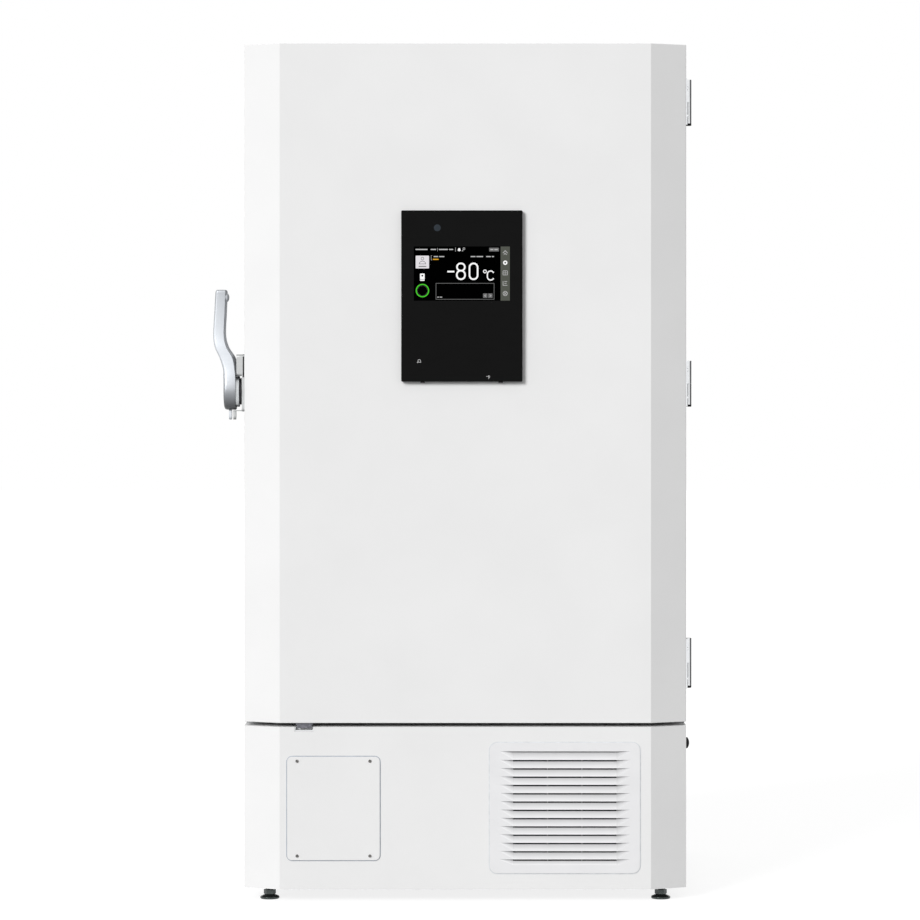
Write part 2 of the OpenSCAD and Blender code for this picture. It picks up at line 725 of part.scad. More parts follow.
// Finned condenser coil with its return bends, held between two end plates on feet
module condenser() color("#a7abae") place() {
    box([cond_x0 + 16, cond_y, cond_low], [cond_x1 - 16, cond_y + cond_d, cond_top]);
    for (sx = [-1, 1]) {
        box([grille_x + sx * (cond_w / 2 - 15) - 1, cond_y - 6, pan_z],
            [grille_x + sx * (cond_w / 2 - 15) + 1, cond_y + cond_d + 6, cond_top]);
        for (k = [0 : tube_rows - 1]) return_bend(sx, cond_low + cond_h * (k + 0.5) / tube_rows);
    }
    for (y = [cond_y - baffle_d, cond_y + cond_d])
        box([cond_x0, y, pan_z], [cond_x1, y + baffle_d, pan_z + 2]);
}
module return_bend(sx, z) translate([grille_x + sx * (cond_w / 2 - 14.5), cond_y + cond_d / 2, z])
    rotate([90, 0, sx > 0 ? -90 : 90]) rotate([0, 90, 0]) rotate([0, 0, 90])
        rotate_extrude(angle = 180, $fn = 48) translate([9, 0]) circle(r = tube_r, $fn = 24);

// Sheet shroud with the ring that the fan runs in and the arms that hold the motor
module fan_shroud() color("#6f7478") place() {
    difference() {
        union() {
            box([cond_x0, shroud_y, pan_z], [cond_x1, shroud_y + 2, cond_top]);
            rod_y(shroud_y, shroud_y + shroud_d, grille_x, grille_z, fan_r + 7);
        }
        rod_y(shroud_y - 1, shroud_y + shroud_d + 1, grille_x, grille_z, fan_r + 5);
    }
    for (a = [0 : 120 : 240]) translate([grille_x, 0, grille_z]) rotate([0, a + 90, 0])
        box([motor_r + 1, shroud_y + shroud_d - 6, -4], [fan_r + 6, shroud_y + shroud_d, 4]);
    difference() {
        rod_y(shroud_y + shroud_d - 6, shroud_y + shroud_d + 8, grille_x, grille_z, motor_r + 2);
        rod_y(shroud_y + shroud_d - 7, shroud_y + shroud_d + 9, grille_x, grille_z, motor_r);
    }
}

module fan_motor() color("#2f3336") place() {
    rod_y(motor_y, motor_y + motor_l, grille_x, grille_z, motor_r);
    rod_y(fan_y + 2, motor_y + 1, grille_x, grille_z, shaft_r);
}

module fan_blades() color("#b6bbbf") place() translate([grille_x, fan_y, grille_z]) {
    difference() {
        union() {
            rod_y(0, 20, 0, 0, hub_r);
            for (k = [0 : blade_n - 1]) rotate([0, 360 * k / blade_n, 0]) translate([hub_r - 2, 10, 0])
                rotate([-28, 0, 0]) blade();
        }
        rod_y(2 - seat, 21, 0, 0, shaft_r + run_fit);
    }
}
module blade() difference() {
    box([-2, -1, -blade_half], [fan_r - hub_r, 1, blade_half]);
    translate([0, -2, 0]) for (s = [-1, 1]) translate([fan_r - hub_r, 0, s * blade_half]) rotate([0, 45, 0])
        cube([24, 8, 24], center = true);
}

// Hermetic compressor on its rubber feet
module compressor(x, y) color("#26292c") place() translate([x, y, pan_z]) {
    for (a = [45 : 90 : 315]) rotate([0, 0, a]) rod_z(0, 14, comp_r - 6, 0, 12);
    translate([0, 0, 12]) intersection() {
        cube([2 * comp_r, 2 * comp_r, 10], center = true);
        cylinder(h = 20, r = comp_r + 10, center = true, $fn = 64);
    }
    translate([0, 0, 14]) rotate_extrude($fn = 96) {
        square([comp_r - 22, comp_h - 14]);
        translate([0, 20]) square([comp_r, comp_h - 56]);
        translate([comp_r - 22, comp_h - 36]) circle(r = 22, $fn = 64);
        translate([comp_r - 22, 22]) circle(r = 22, $fn = 64);
    }
    for (x = [-comp_port, comp_port]) rod_z(comp_h - 20, comp_h + 8, x, 0, tube_r + 1.5);
    translate([0, -comp_r + 4, comp_h / 2]) cube([46, 24, 58], center = true);
}

// Copper lines with the filter drier
module pipework() color("#b4713f") place() {
    line([[comp_high_at[0] + comp_port, comp_high_at[1], line_z],
          [comp_high_at[0] + comp_port, comp_high_at[1], line_z + 26],
          [comp_high_at[0] + comp_port, shroud_y + 60, line_z + 26],
          [cond_x1 + 20, shroud_y + 60, line_z + 26],
          [cond_x1 + 20, cond_y + cond_d / 2 + 9, line_z + 26]]);
    line([[comp_low_at[0] + comp_port, comp_low_at[1], line_z],
          [comp_low_at[0] + comp_port, comp_low_at[1], line_z + 44],
          [low_riser_x, comp_low_at[1], line_z + 44],
          [low_riser_x, comp_low_at[1], body_z - pan_t]]);
    line([[comp_high_at[0] - comp_port, comp_high_at[1], line_z],
          [comp_high_at[0] - comp_port, comp_high_at[1], line_z + 26],
          [riser_x, comp_high_at[1], line_z + 26],
          [riser_x, comp_high_at[1], body_z - pan_t]]);
    translate([riser_x, comp_high_at[1], line_z + 36]) rotate_extrude($fn = 48)
        polygon([[0, 0], [tube_r + 1.2, 0], [drier_r, 14], [drier_r, 54], [tube_r + 1.2, 66], [0, 66]]);
}

// Tube through a list of corners, with a round fitting at each
module line(p) {
    for (i = [0 : len(p) - 2]) let (d = p[i + 1] - p[i], l = norm(d))
        translate(p[i]) rotate([0, acos(d[2] / l), atan2(d[1], d[0])])
            cylinder(h = l, r = tube_r, $fn = 24);
    for (i = [1 : len(p) - 2]) translate(p[i]) sphere(r = fitting_r, $fn = 32);
}

// Closed steel box with the electronics and the backup battery
module control_box() color("#c3c6c8") place() translate([-half_w + control_in, control_y, pan_z]) {
    cube([control_w, control_d, control_h]);
    box([-4, -4, control_h], [control_w + 4, control_d + 4, control_h + 2]);
    for (k = [0 : 5])
        box([control_w - 1, control_d * (k + 1.4) / 8, control_h / 4],
            [control_w + 2, control_d * (k + 1.4) / 8 + 14, control_h * 3 / 4]);
}

// Blank plate for an optional recorder and its screws
module blank_plate() color("#e8e9ea") place() difference() {
    union() {
        translate([blank_x, 0, blank_z]) upright(-2, 2) round_rect([blank_w, blank_h], 11);
        translate([blank_x, 0, blank_z]) upright(-0.1, 6.1)
            round_rect([blank_w - 2 * blank_lap - 1, blank_h - 2 * blank_lap - 1], 3.5);
    }
    for (sx = [-1, 1], sz = [-1, 1])
        rod_y(-3, 1, blank_x + sx * screw_at[0], blank_z + sz * screw_at[1], screw_r + run_fit);
}
module plate_screws() color("#4a4d50") place()
    for (sx = [-1, 1], sz = [-1, 1]) {
        rod_y(-3.6, -2, blank_x + sx * screw_at[0], blank_z + sz * screw_at[1], screw_head_r);
        rod_y(-2.5, 8, blank_x + sx * screw_at[0], blank_z + sz * screw_at[1], screw_r);
    }

// Striker on the side of the cabinet, with the pin that the latch hook closes over
module striker() color("#8f9498") place() {
    difference() {
        sideways(-half_w - 3, 3) translate([striker_y + 12, striker_z]) round_rect([52, 64], 6);
        for (dz = [-22, 22]) rod_x(-half_w - 4, -half_w + 1, striker_y + 26, striker_z + dz, 2.5);
    }
    rod_x(-half_w - boss_in - 2, -half_w - 2, striker_y, striker_z, striker_r);
    rod_x(-half_w - boss_in - 4, -half_w - boss_in - 2, striker_y, striker_z, striker_r + 3);
}

module side_plug() color("#17181a") place() {
    translate([half_w, plug_y, plug_z]) rotate([0, 90, 0]) rotate_extrude($fn = 64) intersection() {
        translate([0, -11.5]) circle(r = 21, $fn = 96);
        square([plug_r, 12]);
    }
    rod_x(half_w - cover_t - 3, half_w + 0.5, plug_y, plug_z, plug_r - 4 - run_fit);
}

// Levelling foot: pad, lock nut and stem
module levelling_feet() color("#54585c") place() for (sx = [-1, 1])
    translate([sx * foot_x, foot_y, 0]) {
        rotate_extrude($fn = 64) polygon([[0, 0], [foot_r - 1, 0], [foot_r, 1], [foot_r, 4.5],
            [foot_r - 2, 6], [13, 9], [10, 12], [0, 12]]);
        translate([0, 0, 11]) cylinder(h = 10, r = 14.2, $fn = 6);
        cylinder(h = pan_z + 6, r = foot_stem_r, $fn = 48);
    }

// Lift-off hinges: leaf and pin on the cabinet, leaf and barrel on the door
function hinge_height(k) = k == 0 ? low_hinge_h : hinge_h;
module hinge_pintles() color("#c8cdd2") place() for (k = [0 : 2]) {
    z = hinge_zs[k];
    h = hinge_height(k);
    box([half_w, front_y + 1, z], [half_w + leaf_t, front_y + leaf_w, z + h]);
    box([half_w + 1, pin_y + barrel_r + 1, z], [half_w + leaf_t, front_y + 2, z + h]);
    box([half_w + 1, pin_y, z], [half_w + leaf_t, pin_y + barrel_r + 2, z + h / 2 - seat]);
    rod_z(z, z + h / 2 - seat, pin_x, pin_y, barrel_r);
    rod_z(z + h / 2 - 1, z + h - 8, pin_x, pin_y, pin_r);
    for (dz = [0.2, 0.8]) rod_x(half_w + leaf_t, half_w + leaf_t + 1.8, front_y + 22, z + dz * h, 4);
}
module hinge_barrels() color("#d4d8dc") place() for (k = [0 : 2]) {
    z = hinge_zs[k];
    h = hinge_height(k);
    difference() {
        union() {
            rod_z(z + h / 2, z + h, pin_x, pin_y, barrel_r);
            box([half_w, pin_y - leaf_w - 2, z], [half_w + leaf_t, pin_y - barrel_r - 1, z + h]);
            box([half_w + 1, pin_y - barrel_r - 2, z + h / 2], [pin_x, pin_y, z + h]);
        }
        rod_z(z + h / 2 - 1, z + h - 6, pin_x, pin_y, pin_r + run_fit);
    }
    for (dz = [0.2, 0.8]) rod_x(half_w + leaf_t, half_w + leaf_t + 1.8, pin_y - 24, z + dz * h, 4);
}

// Sleeve through the rear wall for a sensor lead
module access_sleeve() color("#dfe1e2") place() difference() {
    union() {
        rod_y(store_rear, rear_y, port_at[0], port_at[1], port_r + port_wall - run_fit);
        rod_y(rear_y, rear_y + 5, port_at[0], port_at[1], port_r + 12);
    }
    rod_y(store_rear - 1, rear_y + 6, port_at[0], port_at[1], port_r);
}

// Gland for the mains lead
module cord_inlet() color("#1d1f21") place() {
    translate([gland_at[0], rear_y, gland_at[1]]) rotate([-90, 0, 0]) rotate_extrude($fn = 48)
        polygon([[5, 0], [17, 0], [17, 4], [12, 5], [12, 14], [9, 26], [5, 26]]);
}

module rear_spacers() color("#2c2e30") place()
    for (sx = [-1, 1], z = [body_z + 120, cab_h - 180]) {
        box([sx * (half_w - 130) - 22, rear_y, z - 60], [sx * (half_w - 130) + 22, rear_y + 3, z + 60]);
        box([sx * (half_w - 130) - 12, rear_y, z - 40],
            [sx * (half_w - 130) + 12, rear_y + spacer_d, z + 40]);
    }

// Louvred cover over the rear of the machine compartment
module rear_vent_cover() color("#d3d5d7") place() {
    vent_sheet();
    for (x = [-rocker_w / 2 - 2, rocker_w / 2 + seat]) translate([switch_at[0] + x, 0, switch_at[1]])
        box([0, rear_y - 12, -6], [2 - seat, rear_y, 6]);
    rod_x(switch_at[0] - rocker_w / 2 - 1.5, switch_at[0] + rocker_w / 2 + 1.5, rear_y - 8, switch_at[1],
        rocker_pin_r);
}
module vent_sheet() difference() {
    box([-half_w + sheet_t, rear_y - sheet_t, side_z], [half_w - sheet_t, rear_y, body_z]);
    for (i = [-2 : 2], j = [0 : 8])
        box([i * 130 - vent_w / 2, rear_y - 2 * sheet_t, pan_z + 60 + j * 24],
            [i * 130 + vent_w / 2, rear_y + 1, pan_z + 60 + j * 24 + vent_h]);
    box([switch_at[0] - rocker_w / 2 - 1, rear_y - 2 * sheet_t, switch_at[1] - 11.5],
        [switch_at[0] + rocker_w / 2 + 1, rear_y + 1, switch_at[1] + 11.5]);
    rod_y(rear_y - 2 * sheet_t, rear_y + 1, gland_at[0], gland_at[1], 5);
}

// Rocker of the mains switch
module power_switch() color("#1a1b1c") place() difference() {
    translate([switch_at[0] - rocker_w / 2, rear_y - 8, switch_at[1]]) intersection() {
        rotate([0, 90, 0]) cylinder(h = rocker_w, r = rocker_r, $fn = 64);
        box([-1, -4, -10.5], [rocker_w + 1, rocker_r + 1, 10.5]);
    }
    rod_x(switch_at[0] - rocker_w, switch_at[0] + rocker_w, rear_y - 8, switch_at[1],
        rocker_pin_r + run_fit);
}

// Casters

module caster_fork(sx, y) color("#9aa0a5") place() translate([sx * caster_x, y, 0]) {
    top = pan_low - pad_t - 0.5;
    cheek = wheel_w / 2 + 1;
    rod_z(top - 3, pan_z + 4, 0, 0, king_r);
    rod_z(top - 4, top, 0, 0, 34);
    for (s = [-1, 1]) sideways(s > 0 ? cheek : -cheek - 3, 3)
        polygon([[-20, top - 3], [24, top - 3], [trail + 13, wheel_r + 8], [trail + 13, wheel_r - 8],
            [trail + 4, wheel_r - 13], [trail - 8, wheel_r - 11], [trail - 13, wheel_r], [-20, top - 14]]);
    rod_x(-cheek - 6, cheek + 6, trail, wheel_r, axle_r);
    for (x = [-cheek - 7, cheek + 2.5]) rod_x(x, x + 4.5, trail, wheel_r, axle_r + 3);
}

module caster_wheel(sx, y) color("#2e3033") place()
    translate([sx * caster_x, y + trail, wheel_r]) rotate([0, 90, 0]) difference() {
        translate([0, 0, -wheel_w / 2]) rotate_extrude($fn = 96) difference() {
            translate([axle_r + run_fit, 0]) square([wheel_r - axle_r - run_fit, wheel_w]);
            translate([wheel_r, 0]) rotate(45) square(3, center = true);
            translate([wheel_r, wheel_w]) rotate(45) square(3, center = true);
            translate([10, -1]) square([12, 6]);
            translate([10, wheel_w - 5]) square([12, 6]);
        }
    }

// Outer door

module door_skin() color("#ebebec") place() translate([0, 0, door_z]) difference() {
    linear_extrude(cab_h - door_z) polygon(front_plan(0, door_t - inner_panel_t));
    translate([0, 0, sheet_t]) linear_extrude(cab_h - door_z - 2 * sheet_t)
        polygon(front_plan(sheet_t, door_t));
}

module door_insulation() color("#e8d9a8") place() translate([0, 0, door_z + sheet_t])
    linear_extrude(cab_h - door_z - 2 * sheet_t) polygon(front_plan(sheet_t, door_t - inner_panel_t));

// Formed inner panel with a raised field inside the gasket
module door_inner_panel() color("#f0f1f2") place() {
    box([-half_w, door_t - inner_panel_t, door_z], [half_w, door_t, cab_h]);
    translate([0, 0, (store_z + store_top) / 2]) {
        upright(door_t - 1, field_h - 1) round_rect([field_w, store_h - 20], 30);
        upright(door_t - 1, field_h + 1) round_rect([field_w - 8, store_h - 28], 26);
    }
}

// Magnetic bellows gasket
module door_gasket() color("#dfe0e1") place() {
    zc = gasket_ring_z + gasket_ring_h / 2;
    ring_xz(gasket_ring_w, gasket_ring_h, gasket_w, 10, zc, door_t, 4);
    ring_xz(gasket_ring_w - 14, gasket_ring_h - 14, gasket_w - 14, 6, zc, door_t + 3.9, gasket_t - 8);
    ring_xz(gasket_ring_w - 4, gasket_ring_h - 4, gasket_w - 4, 8, zc, door_t + gasket_t - 4.2,
        4.2 - seat);
}

// Control panel on the face of the door
module panel_housing() color("#141516") place() {
    difference() {
        translate([panel_x, 0, panel_z]) upright(-panel_d, panel_d) round_rect([panel_w, panel_h], 3);
        box([socket_x - socket_half, -panel_d + 3, panel_z - panel_h / 2 - 1],
            [socket_x + socket_half, -panel_d + 9, panel_z - panel_h / 2 + 14]);
    }
    for (x = bump_xs)
        box([x - 5, -panel_d + 2, panel_z - panel_h / 2 - 2.4], [x + 5, -1, panel_z - panel_h / 2 + 1]);
}

module display_glass() color("#191919") place() difference() {
    translate([panel_x, 0, panel_z]) upright(-panel_proud, glass_t) round_rect([panel_w, panel_h], 3);
    translate([panel_x + display_at[0], 0, panel_z + display_at[1]]) upright(-panel_proud - 1, 1.3)
        round_rect(display, 1);
}

// Tab below the door
module door_tab() color("#85888c") place() {
    box([pocket_x - tab_w / 2, 6, cover_top - 3], [pocket_x + tab_w / 2, 10, door_z]);
    box([pocket_x - tab_w / 2 - 3, 5, door_z - 4], [pocket_x + tab_w / 2 + 3, 16, door_z]);
}

// Handle

// Base bracket on the side of the door, with the pivot pin, the housing and the padlock lug
module handle_bracket() color("#a9aeb2") place() {
    difference() {
        union() {
            sideways(-half_w - plate_t, plate_t) translate([pivot_y - 2, (bracket_low + bracket_top) / 2])
                round_rect([50, bracket_top - bracket_low], 8);
            sideways(-half_w - house_out, house_out)
                translate([pivot_y - house_ahead - house_d / 2, bracket_top - 25])
                    round_rect([house_d, 50], 6);
        }
        rod_x(-half_w - house_out - 1, -half_w - plate_t, pivot_y, pivot_z, disc_r + 1);
    }
    rod_x(-half_w - boss_out + 8, -half_w - 1, pivot_y, pivot_z, pivot_r);
    box([-half_w - plate_lug[1], pivot_y - 10, bracket_low + 0.5],
        [-half_w, pivot_y + 10, pivot_z - boss_r - 1]);
    sideways(-half_w - plate_lug[1], plate_lug[1] - plate_lug[0]) lug_outline(bracket_low + 3);
}

// Hanging lug with a hole for a padlock
module lug_outline(top) difference() {
    union() {
        translate([pivot_y, lug_z]) circle(r = lug_r, $fn = 48);
        translate([pivot_y - lug_r, lug_z]) square([2 * lug_r, top - lug_z]);
    }
    translate([pivot_y, lug_z]) circle(r = padlock_r, $fn = 48);
}

// One level of the lever: height, inner and outer reach, front and rear, corner radius
lever_levels = [
    [lever_h, grip_out - grip_w - 1.5, grip_out - 9, -21, -4, 6],
    [lever_h - 5, grip_out - grip_w - 5, grip_out - 5, -25, 0, 8],
    [133, grip_out - grip_w - 1, grip_out, -26, 2, 9],
    [104, 38, grip_out - 3.5, -28, 6, 9],
    [78, boss_out - 26, 58.5, -29, 14, 10],
    [52, boss_out - boss_w + 0.1, boss_out + 2, -31, 24, 10],
    [10, boss_out - boss_w + 0.1, boss_out, -34, 34, 12]];
module lever_level(v) for (x = [v[1] + v[5], v[2] - v[5]], y = [v[3] + v[5], v[4] - v[5]])
    translate([-half_w - x, pivot_y + y, pivot_z + v[0] - 0.5]) cylinder(h = 0.5, r = v[5], $fn = 24);

// Cast lever: grip, cranked arm, boss and padlock lug
module handle_lever() color("#cfd5da") place() difference() {
    union() {
        for (i = [0 : len(lever_levels) - 2]) hull() {
            lever_level(lever_levels[i]);
            lever_level(lever_levels[i + 1]);
        }
        translate([-half_w - boss_out, pivot_y, pivot_z]) rotate([0, 90, 0]) {
            rotate_extrude($fn = 96) {
                square([boss_r - boss_edge, boss_w]);
                translate([0, boss_edge]) square([boss_r, boss_w - boss_edge]);
                translate([boss_r - boss_edge, boss_edge]) circle(r = boss_edge, $fn = 48);
            }
            cylinder(h = boss_out - boss_in, r = disc_r, $fn = 96);
        }
        sideways(-half_w - lever_lug[1], lever_lug[1] - lever_lug[0]) lug_outline(pivot_z - boss_r + 4);
        translate([-half_w - grip_out + grip_w + 3, pivot_y - 12, pivot_z + lever_h - 17])
            sphere(r = knob_r, $fn = 32);
    }
    rod_x(-half_w - boss_out + 7.5, -half_w - boss_in + 1, pivot_y, pivot_z, pivot_r + run_fit);
    rod_x(-half_w - boss_out - 1, -half_w - boss_out + 8, pivot_y, pivot_z, lock_r + run_fit);
}

// Hook that closes over the striker pin; at rest its nose lies just above the pin
module latch_hook() color("#7d8286") place() difference() {
    union() {
        rod_x(-half_w - boss_in, -half_w - boss_in + hook_t, pivot_y, pivot_z, hook_r);
        sideways(-half_w - boss_in, hook_t) polygon([[pivot_y - 4, pivot_z + 17],
            [striker_y + 17, pivot_z + 20], [striker_y + 17, pivot_z + 2], [striker_y + 8, pivot_z + 2],
            [striker_y + 6, pivot_z + 8], [pivot_y + 16, pivot_z - 6]]);
    }
    rod_x(-half_w - boss_in - 1, -half_w - boss_in + hook_t + 1, pivot_y, pivot_z, pivot_r + run_fit);
}

module lock_cylinder() color("#e2e4e6") place() difference() {
    rod_x(-half_w - boss_out - 1.5, -half_w - boss_out + 7.8, pivot_y, pivot_z, lock_r);
    box([-half_w - boss_out - 2, pivot_y - 1, pivot_z - 4],
        [-half_w - boss_out + 3, pivot_y + 1, pivot_z + 4]);
}

// Inner doors

module inner_door(k) color("#f4f5f6") place() {
    z0 = inner_z[k];
    translate([0, 0, z0 + inner_h / 2]) {
        upright(inner_front, inner_door_t) round_rect([inner_w, inner_h], 8);
        upright(inner_front - 3, 4) difference() {
            round_rect([inner_w - 60, inner_h - 60], 24);
            round_rect([inner_w - 90, inner_h - 90], 12);
        }
    }
    box([-inner_w / 2 + 4, inner_front - 9, z0 + inner_h / 2 - pull_h / 2],
        [-inner_w / 2 + 4 + pull_w, inner_front + 1, z0 + inner_h / 2 + pull_h / 2]);
    for (z = inner_hinge_zs(k)) difference() {
        union() {
            rod_z(z, z + inner_barrel_h, inner_pin_x, inner_pin_y, inner_barrel_r);
            box([inner_pin_x - 26, inner_front - 2.5, z],
                [inner_pin_x, inner_front + 1, z + inner_barrel_h]);
        }
        rod_z(z - 1, z + inner_barrel_h - 3, inner_pin_x, inner_pin_y, inner_pin_r + run_fit);
    }
}

module inner_gasket(k) color("#d9dadb") place()
    ring_xz(inner_w, inner_h, inner_gasket_w, 8, inner_z[k] + inner_h / 2, inner_front + inner_door_t,
        inner_gasket_t - seat);

side_panel(-1);  // side_panel_left
side_panel(1);  // side_panel_right
top_panel();
rear_panel();
insulation();
inner_liner();
breaker_frame();
shelf_rails();
shelf(shelf_zs[2]);  // shelf_upper
shelf(shelf_zs[1]);  // shelf_middle
shelf(shelf_zs[0]);  // shelf_lower
base_frame();
front_cover();
grille();
condenser_filter();
condenser();
fan_shroud();
fan_motor();
compressor(comp_high_at[0], comp_high_at[1]);  // compressor_high
compressor(comp_low_at[0], comp_low_at[1]);  // compressor_low
pipework();
control_box();
blank_plate();
plate_screws();
striker();
side_plug();
levelling_feet();
hinge_pintles();
access_sleeve();
cord_inlet();
rear_spacers();
rear_vent_cover();
latch_pocket();
fan_blades();
power_switch();
caster_fork(-1, caster_front_y);  // caster_fork_fl
caster_fork(1, caster_front_y);  // caster_fork_fr
caster_fork(-1, caster_rear_y);  // caster_fork_rl
caster_fork(1, caster_rear_y);  // caster_fork_rr
caster_wheel(-1, caster_front_y);  // caster_wheel_fl
caster_wheel(1, caster_front_y);  // caster_wheel_fr
caster_wheel(-1, caster_rear_y);  // caster_wheel_rl
caster_wheel(1, caster_rear_y);  // caster_wheel_rr
door_skin();
door_insulation();
door_inner_panel();
door_gasket();
panel_housing();
display_glass();
hinge_barrels();
handle_bracket();
door_tab();
handle_lever();
latch_hook();
lock_cylinder();
inner_door(1);  // inner_door_upper
inner_door(0);  // inner_door_lower
inner_gasket(1);  // inner_gasket_upper
inner_gasket(0);  // inner_gasket_lower
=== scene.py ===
"""Dressed model of an upright ultra-low-temperature freezer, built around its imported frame.

Lengths are metres in the frame of the part: +X to the right seen from the front, +Y rearwards and
+Z up. Sizes that come from the object's own drawing are written in millimetres times MM.
"""

from __future__ import annotations

import logging
import math
from collections.abc import Sequence
from dataclasses import dataclass, field
from enum import Enum

import bmesh
import bpy
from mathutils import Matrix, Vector


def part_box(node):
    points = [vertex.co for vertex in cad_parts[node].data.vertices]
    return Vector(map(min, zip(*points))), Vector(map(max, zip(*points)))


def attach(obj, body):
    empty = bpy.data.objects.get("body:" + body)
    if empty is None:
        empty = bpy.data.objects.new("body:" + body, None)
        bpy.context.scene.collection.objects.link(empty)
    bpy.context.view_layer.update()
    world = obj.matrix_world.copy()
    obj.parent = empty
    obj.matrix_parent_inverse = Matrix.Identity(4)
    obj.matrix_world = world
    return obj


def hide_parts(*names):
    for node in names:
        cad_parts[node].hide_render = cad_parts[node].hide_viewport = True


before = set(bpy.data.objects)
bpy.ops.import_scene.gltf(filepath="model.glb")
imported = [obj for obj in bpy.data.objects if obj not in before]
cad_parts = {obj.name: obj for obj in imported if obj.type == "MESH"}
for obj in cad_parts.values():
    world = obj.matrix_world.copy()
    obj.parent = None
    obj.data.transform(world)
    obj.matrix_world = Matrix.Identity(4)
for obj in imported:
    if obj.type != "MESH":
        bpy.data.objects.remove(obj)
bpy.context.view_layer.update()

MM = 0.001
log = logging.getLogger("freezer")
logging.basicConfig(level=logging.INFO, format="%(name)s: %(message)s")

Colour = tuple[float, float, float]
Loop = Sequence[tuple[float, float]]
Line = tuple[Loop, float, bool]

# The flat of the outer door is the datum for whatever lies on the front.
DOOR_LOW, DOOR_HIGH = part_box("door_skin")
MIDDLE = (DOOR_LOW.x + DOOR_HIGH.x) / 2
FRONT = DOOR_LOW.y
LEFT_SIDE = DOOR_LOW.x


class Body(str, Enum):
    """Moving bodies of the frame that dressed pieces ride on."""

    CABINET = "cabinet"
    DOOR = "door"
    HANDLE = "handle"


class Plane(Enum):
    """Planes that flat outlines are drawn in, seen from outside the freezer."""

    FRONT = "x to the right, z up, depth rearwards"
    SIDE = "y rearwards, z up, depth to the right"

    def lift(self, u: float, v: float, depth: float) -> Vector:
        """The point at (u, v) on this plane at the given depth."""
        return Vector((u, depth, v)) if self is Plane.FRONT else Vector((depth, u, v))


def at_front(x_mm: float, z_mm: float) -> tuple[float, float]:
    """A place on the front, from the middle of the cabinet and the floor, both in millimetres."""
    return MIDDLE + x_mm * MM, z_mm * MM


# Shaders


